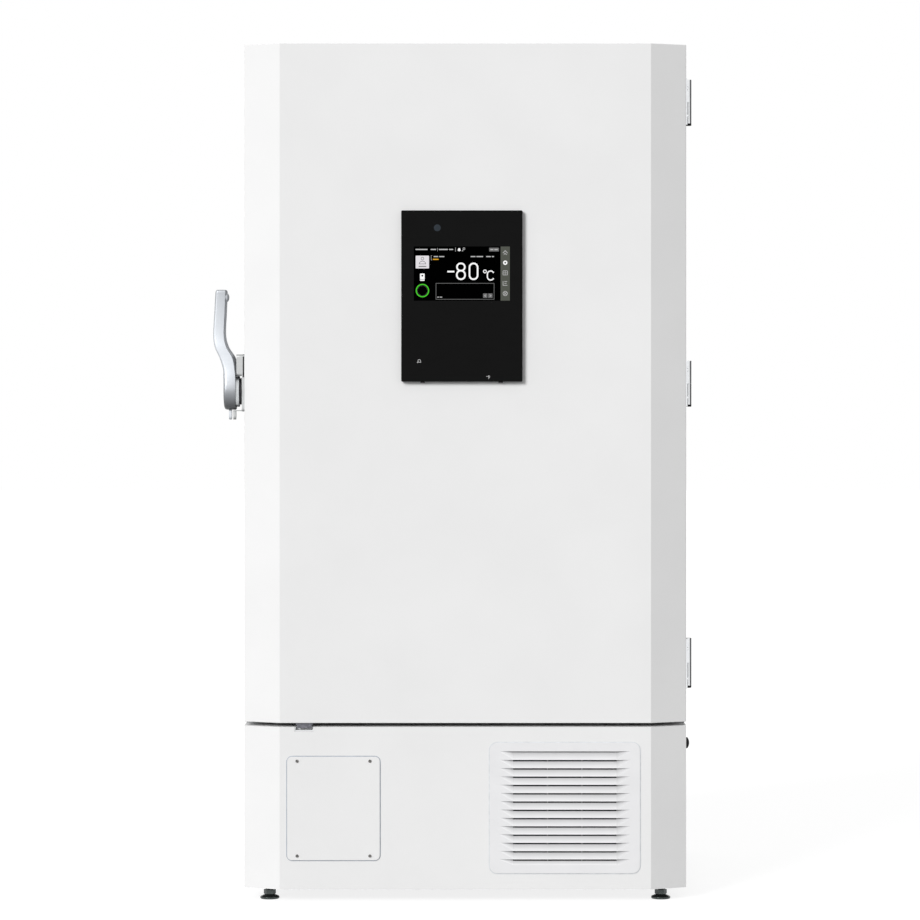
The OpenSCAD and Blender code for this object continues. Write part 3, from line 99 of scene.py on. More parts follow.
class Shader:
    """Node tree of one finish, with the few kinds of texture that the finishes share."""

    def __init__(self, name: str) -> None:
        """Start an empty surface.

        Args:
            name: Name of the material.
        """
        self.material = bpy.data.materials.new(name)
        self.material.use_nodes = True
        self.tree = self.material.node_tree
        self.surface = self.tree.nodes["Principled BSDF"]
        coordinates = self.tree.nodes.new("ShaderNodeTexCoord")
        self.place = coordinates.outputs["Object"]
        self.normal = coordinates.outputs["Normal"]

    def add(self, kind: str, **values: object) -> bpy.types.Node:
        """Add a node.

        Args:
            kind: Node type without its "ShaderNode" prefix.
            values: Properties, or inputs where the name is one with spaces as underscores.

        Returns:
            The new node.
        """
        node = self.tree.nodes.new("ShaderNode" + kind)
        for key, value in values.items():
            socket = key.replace("_", " ")
            if socket in node.inputs:
                node.inputs[socket].default_value = value
            else:
                setattr(node, key, value)
        return node

    def link(self, source: bpy.types.NodeSocket, target: bpy.types.NodeSocket) -> None:
        """Join two sockets."""
        self.tree.links.new(source, target)

    def stretched(self, stretch: tuple[float, float, float]) -> bpy.types.NodeSocket:
        """Scale the object's coordinates along each axis, for brushed textures.

        Args:
            stretch: Scale along each axis.

        Returns:
            The scaled coordinates.
        """
        mapping = self.add("Mapping", Scale=stretch)
        self.link(self.place, mapping.inputs["Vector"])
        return mapping.outputs["Vector"]

    def noise(self, scale: float, detail: float = 2.0,
              stretch: tuple[float, float, float] | None = None) -> bpy.types.NodeSocket:
        """Cloudy noise from 0 to 1.

        Args:
            scale: Cells per metre.
            detail: Number of finer layers.
            stretch: Scale of each axis, or None for the same on all.

        Returns:
            The noise's value.
        """
        node = self.add("TexNoise", Scale=scale, Detail=detail)
        self.link(self.place if stretch is None else self.stretched(stretch), node.inputs["Vector"])
        return node.outputs["Fac"]

    def cells(self, scale: float, feature: str = "F1") -> bpy.types.Node:
        """Voronoi cells.

        Args:
            scale: Cells per metre.
            feature: What its distance is measured to.

        Returns:
            The node, with its "Distance" and "Color".
        """
        node = self.add("TexVoronoi", Scale=scale, feature=feature)
        self.link(self.place, node.inputs["Vector"])
        return node

    def tones(self, source: bpy.types.NodeSocket, dark: Colour, light: Colour,
              low: float = 0.3, high: float = 0.7) -> None:
        """Colour the surface between two tones by a value.

        Args:
            source: Value that chooses the tone.
            dark: Tone at the low value.
            light: Tone at the high value.
            low: Value at which the dark tone ends.
            high: Value at which the light tone begins.
        """
        ramp = self.add("ValToRGB")
        ramp.color_ramp.elements[0].position = low
        ramp.color_ramp.elements[1].position = high
        ramp.color_ramp.elements[0].color = (*dark, 1.0)
        ramp.color_ramp.elements[1].color = (*light, 1.0)
        self.link(source, ramp.inputs["Fac"])
        self.link(ramp.outputs["Color"], self.surface.inputs["Base Color"])

    def spread(self, source: bpy.types.NodeSocket, socket: str, low: float, high: float) -> None:
        """Vary one of the surface's values with a texture.

        Args:
            source: The texture's value from 0 to 1.
            socket: Name of the surface's value.
            low: Value at 0.
            high: Value at 1.
        """
        node = self.add("MapRange")
        node.inputs["To Min"].default_value = low
        node.inputs["To Max"].default_value = high
        self.link(source, node.inputs["Value"])
        self.link(node.outputs["Result"], self.surface.inputs[socket])

    def axis_value(self, source: bpy.types.NodeSocket, axis: str,
                   size_only: bool = False) -> bpy.types.NodeSocket:
        """One axis of a vector.

        Args:
            source: The vector.
            axis: "X", "Y" or "Z".
            size_only: Whether to leave its sign away.

        Returns:
            The value along the axis.
        """
        split = self.add("SeparateXYZ")
        self.link(source, split.inputs["Vector"])
        if not size_only:
            return split.outputs[axis]
        size = self.add("Math", operation="ABSOLUTE")
        self.link(split.outputs[axis], size.inputs[0])
        return size.outputs["Value"]

    def shade(self, source: bpy.types.NodeSocket, stops: Sequence[tuple[float, float]]) -> None:
        """Darken the surface's colour by a share that depends on a value.

        Args:
            source: The value.
            stops: Pairs of a value and the share of the colour that is left there, in rising order.
        """
        low, high = stops[0][0], stops[-1][0]
        span = self.add("MapRange")
        span.inputs["From Min"].default_value = low
        span.inputs["From Max"].default_value = high
        self.link(source, span.inputs["Value"])
        ramp = self.add("ValToRGB")
        marks = ramp.color_ramp.elements
        while len(marks) < len(stops):
            marks.new(0.5)
        for mark, (value, share) in zip(marks, stops):
            mark.position = (value - low) / (high - low)
            mark.color = (share, share, share, 1.0)
        self.link(span.outputs["Result"], ramp.inputs["Fac"])
        base = self.surface.inputs["Base Color"]
        product = self.add("VectorMath", operation="MULTIPLY")
        self.link(base.links[0].from_socket, product.inputs[0])
        self.link(ramp.outputs["Color"], product.inputs[1])
        self.link(product.outputs["Vector"], base)

    def relief(self, source: bpy.types.NodeSocket, depth: float, strength: float = 1.0) -> None:
        """Give the surface a relief.

        Args:
            source: Height from 0 to 1.
            depth: Height in metres at 1.
            strength: Share of the relief that shows.
        """
        bump = self.add("Bump", Strength=strength, Distance=depth)
        self.link(source, bump.inputs["Height"])
        self.link(bump.outputs["Normal"], self.surface.inputs["Normal"])


def tint(colour: Colour, share: float) -> Colour:
    """A colour made lighter or darker by a share of itself."""
    return tuple(min(1.0, c * (1.0 + share)) for c in colour)


@dataclass(frozen=True)
class Finish:
    """Plain values of a surface; each kind of finish adds its own texture."""

    name: str
    colour: Colour
    roughness: float = 0.5
    specular: float = 0.5
    metallic: float = 0.0

    def material(self) -> bpy.types.Material:
        """Make the finish's material at its first use.

        Returns:
            The material, the same one at each call.
        """
        title = "finish_" + self.name
        made = bpy.data.materials.get(title)
        if made is not None:
            return made
        shader = Shader(title)
        surface = shader.surface.inputs
        surface["Base Color"].default_value = (*self.colour, 1.0)
        surface["Roughness"].default_value = self.roughness
        surface["Specular IOR Level"].default_value = self.specular
        surface["Metallic"].default_value = self.metallic
        self.texture(shader)
        return shader.material

    def texture(self, shader: Shader) -> None:
        """Add what makes the finish more than its plain values."""
        raise NotImplementedError


@dataclass(frozen=True)
class PowderCoat(Finish):
    """Sprayed and baked paint on sheet steel: faint orange peel and hardly any change of tone."""

    peel: float = 0.00001

    def texture(self, shader: Shader) -> None:
        """Orange peel about two millimetres across, and a cloudy change of tone."""
        shader.tones(shader.noise(6.0), tint(self.colour, -0.012), tint(self.colour, 0.012))
        shader.relief(shader.noise(420.0, 1.0), self.peel, 0.6)


@dataclass(frozen=True)
class MouldedPlastic(Finish):
    """Moulded plastic with the spark-eroded grain of its tool."""

    grain: float = 900.0
    depth: float = 0.00003

    def texture(self, shader: Shader) -> None:
        """Fine grain in relief and in gloss.

        Args:
            shader: Node tree of the finish.
        """
        grain = shader.noise(self.grain, 3.0)
        shader.tones(shader.noise(14.0), tint(self.colour, -0.02), tint(self.colour, 0.02))
        shader.spread(grain, "Roughness", self.roughness - 0.06, self.roughness + 0.06)
        shader.relief(grain, self.depth, 0.7)


@dataclass(frozen=True)
class LouvredPlastic(MouldedPlastic):
    """Moulded plastic of a louvred grille, with painted shade deep under each louvre."""

    face: float = 0.0

    def texture(self, shader: Shader) -> None:
        """Grain, painted shade deep in the louvres, and painted light and shade on faces that turn sideways.

        Args:
            shader: Node tree of the finish.
        """
        super().texture(shader)
        # Painted shade: darker the deeper the surface lies behind the rim, down to a little over half at the
        # back of the louvres.
        shader.shade(shader.axis_value(shader.place, "Y"), (
            (self.face, 1.0), (self.face + 1.2 * MM, 0.93), (self.face + 4.0 * MM, 0.79),
            (self.face + 8.5 * MM, 0.56)))
        # Painted light and shade by facing: darker on faces that turn left, lighter on faces that turn
        # right.
        shader.shade(shader.axis_value(shader.normal, "X"), (
            (-0.6, 0.72), (-0.3, 0.78), (-0.02, 1.0), (0.02, 1.0), (0.3, 1.16), (0.6, 1.2)))


@dataclass(frozen=True)
class BrushedMetal(Finish):
    """Metal brushed along one axis."""

    across: tuple[float, float, float] = (1.0, 60.0, 60.0)

    def texture(self, shader: Shader) -> None:
        """Long fine lines in tone, gloss and relief.

        Args:
            shader: Node tree of the finish.
        """
        lines = shader.noise(40.0, 3.0, self.across)
        shader.tones(lines, tint(self.colour, -0.08), tint(self.colour, 0.08))
        shader.spread(lines, "Roughness", self.roughness - 0.08, self.roughness + 0.1)
        shader.relief(lines, 0.00002, 0.5)


@dataclass(frozen=True)
class PlatedHinge(BrushedMetal):
    """Bright hinge metal with painted shade where it turns away to the side, up or down."""

    def texture(self, shader: Shader) -> None:
        """Brushed lines, and painted shade on the flanks and ends.

        Args:
            shader: Node tree of the finish.
        """
        super().texture(shader)
        # Painted shade: darker where the surface faces to either side, and where it faces up or down.
        shader.shade(shader.axis_value(shader.normal, "X", True), (
            (0.25, 1.0), (0.45, 0.3), (0.65, 0.06)))
        shader.shade(shader.axis_value(shader.normal, "Z", True), ((0.3, 1.0), (0.7, 0.16)))


@dataclass(frozen=True)
class SilverPaint(Finish):
    """Silver paint over a casting: fine flakes and the slight waviness of cast metal.

    Painted shade darkens what turns away from the front and changes the tone with the height.
    """

    flank: float = 0.6
    painted_height_shade: tuple[tuple[float, float], ...] = ((0.0, 1.0), (2.0, 1.0))

    def texture(self, shader: Shader) -> None:
        """Flake sparkle in tone and gloss over a shallow wave; painted shade by facing and height.

        Args:
            shader: Node tree of the finish.
        """
        flakes = shader.cells(2600.0).outputs["Distance"]
        shader.tones(flakes, tint(self.colour, -0.06), tint(self.colour, 0.05), 0.1, 0.8)
        shader.spread(flakes, "Roughness", self.roughness - 0.05, self.roughness + 0.08)
        # Painted shade: darker on what turns away from the front.
        shader.shade(shader.axis_value(shader.normal, "Y", True), (
            (0.0, self.flank), (0.5, self.flank + 0.1), (0.95, 1.0)))
        # Painted shade by height, from the stops given with the finish.
        shader.shade(shader.axis_value(shader.place, "Z"), self.painted_height_shade)
        shader.relief(shader.noise(110.0, 2.0), 0.00006, 0.5)


@dataclass(frozen=True)
class ZincPlate(Finish):
    """Zinc-plated steel with its spangle."""

    def texture(self, shader: Shader) -> None:
        """Spangle cells that differ in tone and gloss.

        Args:
            shader: Node tree of the finish.
        """
        spangle = shader.cells(160.0)
        tone = shader.add("RGBToBW")
        shader.link(spangle.outputs["Color"], tone.inputs["Color"])
        shader.tones(tone.outputs["Val"], tint(self.colour, -0.16), tint(self.colour, 0.14))
        shader.spread(tone.outputs["Val"], "Roughness", self.roughness - 0.1, self.roughness + 0.12)
        shader.relief(shader.noise(500.0, 3.0), 0.00003, 0.5)


@dataclass(frozen=True)
class SoftRubber(Finish):
    """Rubber or soft vinyl with a dull bloom."""

    def texture(self, shader: Shader) -> None:
        """Cloudy bloom and a fine skin.

        Args:
            shader: Node tree of the finish.
        """
        bloom = shader.noise(60.0, 4.0)
        shader.tones(bloom, tint(self.colour, -0.1), tint(self.colour, 0.12))
        shader.spread(bloom, "Roughness", self.roughness - 0.08, self.roughness + 0.1)
        shader.relief(shader.noise(1400.0), 0.00003, 0.6)


@dataclass(frozen=True)
class FoamCore(Finish):
    """Cut face of rigid foam."""

    def texture(self, shader: Shader) -> None:
        """Open cells about two millimetres across.

        Args:
            shader: Node tree of the finish.
        """
        cells = shader.cells(520.0).outputs["Distance"]
        shader.tones(cells, tint(self.colour, -0.2), self.colour, 0.0, 0.6)
        shader.relief(cells, 0.0005, 0.8)


@dataclass(frozen=True)
class DarkGloss(Finish):
    """Black glass or gloss plastic, with a trace of smear in its gloss."""

    def texture(self, shader: Shader) -> None:
        """Faint smears in the gloss and a hardly visible change of tone.

        Args:
            shader: Node tree of the finish.
        """
        smear = shader.noise(22.0, 4.0, (1.0, 1.0, 2.4))
        shader.spread(smear, "Roughness", self.roughness, self.roughness + 0.05)
        shader.tones(smear, tint(self.colour, -0.05), tint(self.colour, 0.05))


@dataclass(frozen=True)
class WovenScreen(Finish):
    """Woven dust filter."""

    mesh: float = 420.0

    def texture(self, shader: Shader) -> None:
        """Crossed threads in relief and tone.

        Args:
            shader: Node tree of the finish.
        """
        weave = shader.add("Math", operation="MAXIMUM")
        for index, direction in enumerate(("X", "Z")):
            wave = shader.add("TexWave", Scale=self.mesh, bands_direction=direction)
            shader.link(shader.place, wave.inputs["Vector"])
            shader.link(wave.outputs["Fac"], weave.inputs[index])
        shader.tones(weave.outputs["Value"], tint(self.colour, -0.7), tint(self.colour, 0.3), 0.4, 0.9)
        shader.relief(weave.outputs["Value"], 0.0003, 1.0)


@dataclass(frozen=True)
class RolledWheel(Finish):
    """Caster wheel: moulded hub inside a darker tread, both dusty from the floor."""

    hub: Colour = (0.42, 0.43, 0.45)
    hub_radius: float = 20 * MM
    centre: tuple[float, float, float] = (0.0, 0.0, 0.0)

    def texture(self, shader: Shader) -> None:
        """The hub's tone inside its radius about the axle, the tread's outside.

        Args:
            shader: Node tree of the finish.
        """
        offset = shader.add("VectorMath", operation="SUBTRACT")
        offset.inputs[1].default_value = self.centre
        shader.link(shader.place, offset.inputs[0])
        flat = shader.add("VectorMath", operation="MULTIPLY")
        flat.inputs[1].default_value = (0.0, 1.0, 1.0)
        shader.link(offset.outputs["Vector"], flat.inputs[0])
        reach = shader.add("VectorMath", operation="LENGTH")
        shader.link(flat.outputs["Vector"], reach.inputs[0])
        share = shader.add("MapRange")
        share.inputs["From Min"].default_value = self.hub_radius
        share.inputs["From Max"].default_value = self.hub_radius + 0.4 * MM
        shader.link(reach.outputs["Value"], share.inputs["Value"])
        shader.tones(share.outputs["Result"], self.hub, self.colour, 0.0, 1.0)
        shader.relief(shader.noise(900.0, 3.0), 0.00005, 0.6)


@dataclass(frozen=True)
class LitInk(Finish):
    """Lit picture element of the display."""

    glow: float = 1.0

    def texture(self, shader: Shader) -> None:
        """Light of its own colour, a little uneven as the display's pixels are.

        Args:
            shader: Node tree of the finish.
        """
        pixels = shader.noise(2400.0, 1.0)
        ramp = shader.add("ValToRGB")
        ramp.color_ramp.elements[0].color = (*tint(self.colour, -0.06), 1.0)
        ramp.color_ramp.elements[1].color = (*self.colour, 1.0)
        shader.link(pixels, ramp.inputs["Fac"])
        shader.link(ramp.outputs["Color"], shader.surface.inputs["Emission Color"])
        shader.surface.inputs["Emission Strength"].default_value = self.glow
        shader.surface.inputs["Base Color"].default_value = (0.0, 0.0, 0.0, 1.0)


CABINET_WHITE = PowderCoat("cabinet_white", (0.80, 0.80, 0.80), 0.5, 0.25)
REAR_GREY = PowderCoat("rear_grey", (0.62, 0.63, 0.64), 0.5, 0.3)
FOAM = FoamCore("foam_core", (0.80, 0.68, 0.38), 0.9, 0.2)
LINER = BrushedMetal("liner_steel", (0.58, 0.59, 0.60), 0.34, 0.5, 1.0, (60.0, 60.0, 1.0))
SHELF_STEEL = BrushedMetal("shelf_steel", (0.60, 0.61, 0.62), 0.3, 0.5, 1.0, (1.0, 60.0, 60.0))
INNER_WHITE = MouldedPlastic("inner_white", (0.82, 0.83, 0.84), 0.42, 0.4)
SEAL = SoftRubber("seal_grey", (0.60, 0.61, 0.62), 0.62, 0.35)
BASE_PAINT = PowderCoat("base_grey", (0.24, 0.25, 0.26), 0.5, 0.4, 0.0, 0.00003)
# The grille's finish carries painted shade deep in the louvres and painted light and shade on their sideways
# faces.
GRILLE_PLASTIC = LouvredPlastic("grille_plastic", (0.785, 0.785, 0.795), 0.5, 0.25, 0.0, 1100.0, 0.00002,
                                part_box("grille")[0].y)
FILTER = WovenScreen("filter_screen", (0.02, 0.022, 0.025), 0.8, 0.2)
FINS = BrushedMetal("fin_aluminium", (0.56, 0.57, 0.58), 0.4, 0.5, 1.0, (900.0, 1.0, 1.0))
SHEET_GREY = ZincPlate("sheet_grey", (0.40, 0.41, 0.42), 0.45, 0.5, 0.7)
ENAMEL = PowderCoat("black_enamel", (0.012, 0.013, 0.014), 0.28, 0.5, 0.0, 0.00006)
COPPER = BrushedMetal("copper_tube", (0.62, 0.30, 0.17), 0.32, 0.5, 1.0, (20.0, 20.0, 1.0))
ZINC = ZincPlate("zinc_plate", (0.36, 0.38, 0.40), 0.36, 0.5, 0.9)
# The hinges carry painted shade on their flanks and ends.
HINGE_METAL = PlatedHinge("hinge_metal", (0.92, 0.95, 0.99), 0.3, 0.5, 0.92, (60.0, 60.0, 1.0))
# Its stops by height are painted shade: darkest just under the boss, light at mid height and darker again
# towards the top of the grip.
LEVER_SILVER = SilverPaint("lever_silver", (0.68, 0.71, 0.75), 0.4, 0.4, 0.3, 0.6, (
    (1.110, 1.0), (1.138, 1.0), (1.142, 0.16), (1.150, 0.18), (1.178, 0.40), (1.208, 0.68),
    (1.245, 0.88), (1.280, 0.97), (1.330, 0.88), (1.405, 0.70), (1.423, 0.62)))
# Its flanks get the same painted shade by facing as the lever.
BRACKET_GREY = SilverPaint("bracket_grey", (0.50, 0.51, 0.51), 0.5, 0.4, 0.3, 0.45)
PANEL_BLACK = MouldedPlastic("panel_black", (0.008, 0.008, 0.009), 0.42, 0.25, 0.0, 1500.0, 0.00001)
PANEL_GLASS = DarkGloss("panel_glass", (0.0048, 0.0048, 0.0048), 0.14, 0.05)
SCREEN_BLACK = DarkGloss("screen_black", (0.0003, 0.0003, 0.0003), 0.2, 0.0)
HOOK_DARK = ZincPlate("hook_dark", (0.05, 0.05, 0.055), 0.5, 0.4, 0.6)
# A bright stand-in for the lever's disc where it lies in the boss's shadow: painted light.
PAINTED_LIGHT_STEEL = BrushedMetal("painted_light_steel", (0.60, 0.62, 0.63), 0.4, 0.5, 0.9, (1.0, 50.0, 50.0))
TAB_GREY = ZincPlate("tab_grey", (0.14, 0.14, 0.16), 0.4, 0.5, 0.6)
SCREW_DARK = ZincPlate("screw_dark", (0.15, 0.145, 0.14), 0.3, 0.5, 0.9)
# Finishes of the painted shadow lines round the blank plate and the grille.
SHADOW_LINE_BLUE = SoftRubber("shadow_line_blue", (0.38, 0.41, 0.46), 0.6, 0.3)
SHADOW_LINE_GREY = SoftRubber("shadow_line_grey", (0.66, 0.68, 0.70), 0.6, 0.3)
FOOT_DARK = ZincPlate("foot_dark", (0.07, 0.08, 0.078), 0.24, 0.5, 0.8)
LOCK_STEEL = BrushedMetal("lock_steel", (0.72, 0.73, 0.74), 0.22, 0.5, 1.0, (1.0, 50.0, 50.0))
BLACK_RUBBER = SoftRubber("black_rubber", (0.010, 0.010, 0.011), 0.6, 0.16)
PICTURE_WHITE = LitInk("picture_white", (1.0, 1.0, 1.0), 0.5, 0.0)
PICTURE_SOFT = LitInk("picture_soft", (0.50, 0.50, 0.50), 0.5, 0.0)
PICTURE_GREY = LitInk("picture_grey", (0.16, 0.16, 0.16), 0.5, 0.0)
PICTURE_BAR = LitInk("picture_bar", (0.092, 0.098, 0.082), 0.5, 0.0)
PICTURE_TILE = LitInk("picture_tile", (0.79, 0.76, 0.79), 0.5, 0.0)
PICTURE_DARK = LitInk("picture_dark", (0.06, 0.06, 0.065), 0.5, 0.0)
PICTURE_GREEN = LitInk("picture_green", (0.072, 0.62, 0.032), 0.5, 0.0)
PICTURE_ORANGE = LitInk("picture_orange", (0.83, 0.42, 0.03), 0.5, 0.0)
SENSOR_DARK = DarkGloss("sensor_dark", (0.017, 0.024, 0.032), 0.3, 0.2)


# Outlines and meshes


def circle_loop(u: float, v: float, radius: float, steps: int = 40) -> list[tuple[float, float]]:
    """Points round a circle."""
    return [(u + radius * math.cos(math.tau * i / steps), v + radius * math.sin(math.tau * i / steps))
            for i in range(steps)]


def round_rect_loop(u: float, v: float, width: float, height: float, radius: float,
                    steps: int = 6) -> list[tuple[float, float]]:
    """Points round a rectangle with round corners.

    Args:
        u: Middle across.
        v: Middle up.
        width: Full width.
        height: Full height.
        radius: Radius of each corner.
        steps: Segments in each corner.

    Returns:
        The loop, counter-clockwise.
    """
    loop = []
    corners = ((1, 1, 0), (-1, 1, 90), (-1, -1, 180), (1, -1, 270))
    for su, sv, start in corners:
        for i in range(steps + 1):
            a = math.radians(start + 90 * i / steps)
            loop.append((u + su * (width / 2 - radius) + radius * math.cos(a),
                         v + sv * (height / 2 - radius) + radius * math.sin(a)))
    return loop


def arc_path(u: float, v: float, radius: float, start: float, end: float,
             steps: int = 16) -> list[tuple[float, float]]:
    """Points along an arc between two angles in degrees."""
    angles = (math.radians(start + (end - start) * i / steps) for i in range(steps + 1))
    return [(u + radius * math.cos(a), v + radius * math.sin(a)) for a in angles]


def offset_path(path: Loop, shift: float, closed: bool) -> list[tuple[float, float]]:
    """A path moved sideways, mitred at its corners.

    Args:
        path: The path's points.
        shift: Distance to the left of the path's direction.
        closed: Whether the last point joins the first.

    Returns:
        As many points as the path has.
    """
    points = [Vector(p) for p in path]
    count = len(points)
    moved = []
    for i, point in enumerate(points):
        before = points[i - 1] if closed or i > 0 else None
        after = points[(i + 1) % count] if closed or i < count - 1 else None
        sides = []
        if before is not None:
            sides.append((point - before).normalized())
        if after is not None:
            sides.append((after - point).normalized())
        normals = [Vector((-s.y, s.x)) for s in sides]
        mean = sum(normals, Vector((0.0, 0.0))).normalized()
        reach = shift / max(0.4, mean.dot(normals[0]))
        moved.append(tuple(point + mean * reach))
    return moved


def prism(bm: bmesh.types.BMesh, loops: Sequence[Loop], plane: Plane, near: float, far: float) -> None:
    """Add a flat plate with holes.

    Args:
        bm: Mesh to add to.
        loops: The outline, then one loop for each hole.
        plane: Plane of the outline.
        near: Depth of one face.
        far: Depth of the other face.
    """
    pairs = {}
    edges = []
    rings = []
    for loop in loops:
        ring = [bm.verts.new(plane.lift(u, v, near)) for u, v in loop]
        for vert, (u, v) in zip(ring, loop):
            pairs[vert] = bm.verts.new(plane.lift(u, v, far))
        edges += [bm.edges.new((ring[i - 1], ring[i])) for i in range(len(ring))]
        rings.append(ring)
    if len(loops) == 1:
        caps = [bm.faces.new(rings[0])]
    else:
        filled = bmesh.ops.triangle_fill(bm, use_beauty=True, edges=edges)
        caps = [g for g in filled["geom"] if isinstance(g, bmesh.types.BMFace)]
    for cap in caps:
        bm.faces.new([pairs[v] for v in reversed(cap.verts)])
    for ring in rings:
        for i, vert in enumerate(ring):
            last = ring[i - 1]
            bm.faces.new((last, vert, pairs[vert], pairs[last]))


def stroke(bm: bmesh.types.BMesh, path: Loop, width: float, near: float, far: float,
           closed: bool = False, plane: Plane = Plane.FRONT) -> None:
    """Add a line of even width as a flat plate.

    Args:
        bm: Mesh to add to.
        path: Middle of the line.
        width: Width of the line.
        near: Depth of one face.
        far: Depth of the other face.
        closed: Whether the line closes on itself.
        plane: Plane of the line.
    """
    left = offset_path(path, width / 2, closed)
    right = offset_path(path, -width / 2, closed)
    if closed:
        prism(bm, [left, right], plane, near, far)
    else:
        prism(bm, [left + right[::-1]], plane, near, far)


def lathe(bm: bmesh.types.BMesh, profile: Loop, centre: Vector, axis: str, steps: int = 64) -> None:
    """Turn a closed profile about an axis.

    Args:
        bm: Mesh to add to.
        profile: (radius, distance along the axis) round the section; a radius of 0 is on the axis.
        centre: Point that the profile's zero lies on.
        axis: "X", "Y" or "Z".
        steps: Segments round the axis.
    """
    def spot(radius: float, along: float, angle: float) -> Vector:
        """Turn a point of the profile about the axis.

        Args:
            radius: Its distance from the axis.
            along: Its distance along the axis.
            angle: Angle of the turn.

        Returns:
            The point.
        """
        a, b = radius * math.cos(angle), radius * math.sin(angle)
        places = {"X": (along, a, b), "Y": (a, along, b), "Z": (a, b, along)}
        return centre + Vector(places[axis])

    poles = {i: bm.verts.new(spot(0.0, h, 0.0)) for i, (r, h) in enumerate(profile) if r <= 0.0}
    turns = []
    for s in range(steps):
        angle = math.tau * s / steps
        turns.append([poles[i] if i in poles else bm.verts.new(spot(r, h, angle))
                      for i, (r, h) in enumerate(profile)])
    for s, ring in enumerate(turns):
        last = turns[s - 1]
        for i in range(len(profile)):
            corners = [last[i - 1], last[i], ring[i], ring[i - 1]]
            unique = list(dict.fromkeys(corners))
            if len(unique) >= 3:
                bm.faces.new(unique)


def loft(bm: bmesh.types.BMesh, rings: Sequence[Sequence[Vector]], closed: bool = False) -> None:
    """Join rings of equal length into a skin.

    Args:
        bm: Mesh to add to.
        rings: The rings in order, each closed on itself.
        closed: Whether the last ring joins the first; if not, both ends are capped.
    """
    made = [[bm.verts.new(p) for p in ring] for ring in rings]
    pairs = list(zip(made, made[1:]))
    if closed:
        pairs.append((made[-1], made[0]))
    else:
        bm.faces.new(made[0])
        bm.faces.new(made[-1][::-1])
    for low, high in pairs:
        for i in range(len(low)):
            bm.faces.new((low[i - 1], low[i], high[i], high[i - 1]))


def piece(name: str, bm: bmesh.types.BMesh, finish: Finish, body: Body,
          edge: float = 0.0, sharp: float = 35.0) -> bpy.types.Object:
    """Finish a mesh as a named piece that rides on a body.

    Args:
        name: Name of the piece.
        bm: Its mesh, which is freed.
        finish: Its finish.
        body: The body that it rides on.
        edge: Radius of its softened edges, or 0 for none.
        sharp: Angle in degrees above which an edge stays sharp.

    Returns:
        The new object.
    """
    bmesh.ops.recalc_face_normals(bm, faces=bm.faces)
    mesh = bpy.data.meshes.new(name)
    bm.to_mesh(mesh)
    bm.free()
    mesh.polygons.foreach_set("use_smooth", [True] * len(mesh.polygons))
    mesh.set_sharp_from_angle(angle=math.radians(sharp))
    obj = bpy.data.objects.new(name, mesh)
    bpy.context.scene.collection.objects.link(obj)
    mesh.materials.append(finish.material())
    if edge > 0.0:
        soften(obj, edge)
    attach(obj, body.value)
    log.info("made %s (%d faces)", name, len(mesh.polygons))
    return obj


def soften(obj: bpy.types.Object, width: float, segments: int = 2, angle: float = 30.0) -> None:
    """Round the edges of a piece.

    Args:
        obj: The piece.
        width: Width of the rounding.
        segments: Segments across it.
        angle: Smallest angle in degrees that counts as an edge.
    """
    bevel = obj.modifiers.new("edges", "BEVEL")
    bevel.width = width
    bevel.segments = segments
    bevel.limit_method = "ANGLE"
    bevel.angle_limit = math.radians(angle)


@dataclass(frozen=True)
class Dressing:
    """Finish and edge rounding of a solid that is shown as the frame has it."""

    finish: Finish
    edge: float = 0.0
    segments: int = 2

    def put_on(self, node: str) -> None:
        """Dress one solid of the frame.

        Args:
            node: Name of its node.
        """
        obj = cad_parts[node]
        for index in range(max(1, len(obj.material_slots))):
            if index < len(obj.material_slots):
                obj.material_slots[index].material = self.finish.material()
            else:
                obj.data.materials.append(self.finish.material())
        if self.edge > 0.0:
            weld = obj.modifiers.new("joined", "WELD")
            weld.merge_threshold = 0.002 * MM
            soften(obj, self.edge, self.segments)
        log.info("dressed %s in %s", node, self.finish.name)


# Sub-assemblies


@dataclass
class Cabinet:
    """Insulated body with its liner, shelves and rear."""

    edge: float = 0.8 * MM

    def dress(self) -> None:
        """Dress the solids of the insulated body."""
        painted = Dressing(CABINET_WHITE, self.edge)
        for node in ("side_panel_left", "side_panel_right", "top_panel"):
            painted.put_on(node)
        for node in ("rear_panel", "rear_vent_cover"):
            Dressing(REAR_GREY).put_on(node)
        Dressing(FOAM).put_on("insulation")
        Dressing(LINER).put_on("inner_liner")
        Dressing(INNER_WHITE, self.edge).put_on("breaker_frame")
        Dressing(LINER).put_on("shelf_rails")
        for node in ("shelf_upper", "shelf_middle", "shelf_lower"):
            Dressing(SHELF_STEEL, 0.4 * MM).put_on(node)
        Dressing(INNER_WHITE, 0.6 * MM).put_on("access_sleeve")
        for node in ("cord_inlet", "rear_spacers"):
            Dressing(BLACK_RUBBER, 0.8 * MM).put_on(node)
        Dressing(PANEL_BLACK, 0.5 * MM).put_on("power_switch")
        Dressing(ZINC, 0.4 * MM).put_on("striker")


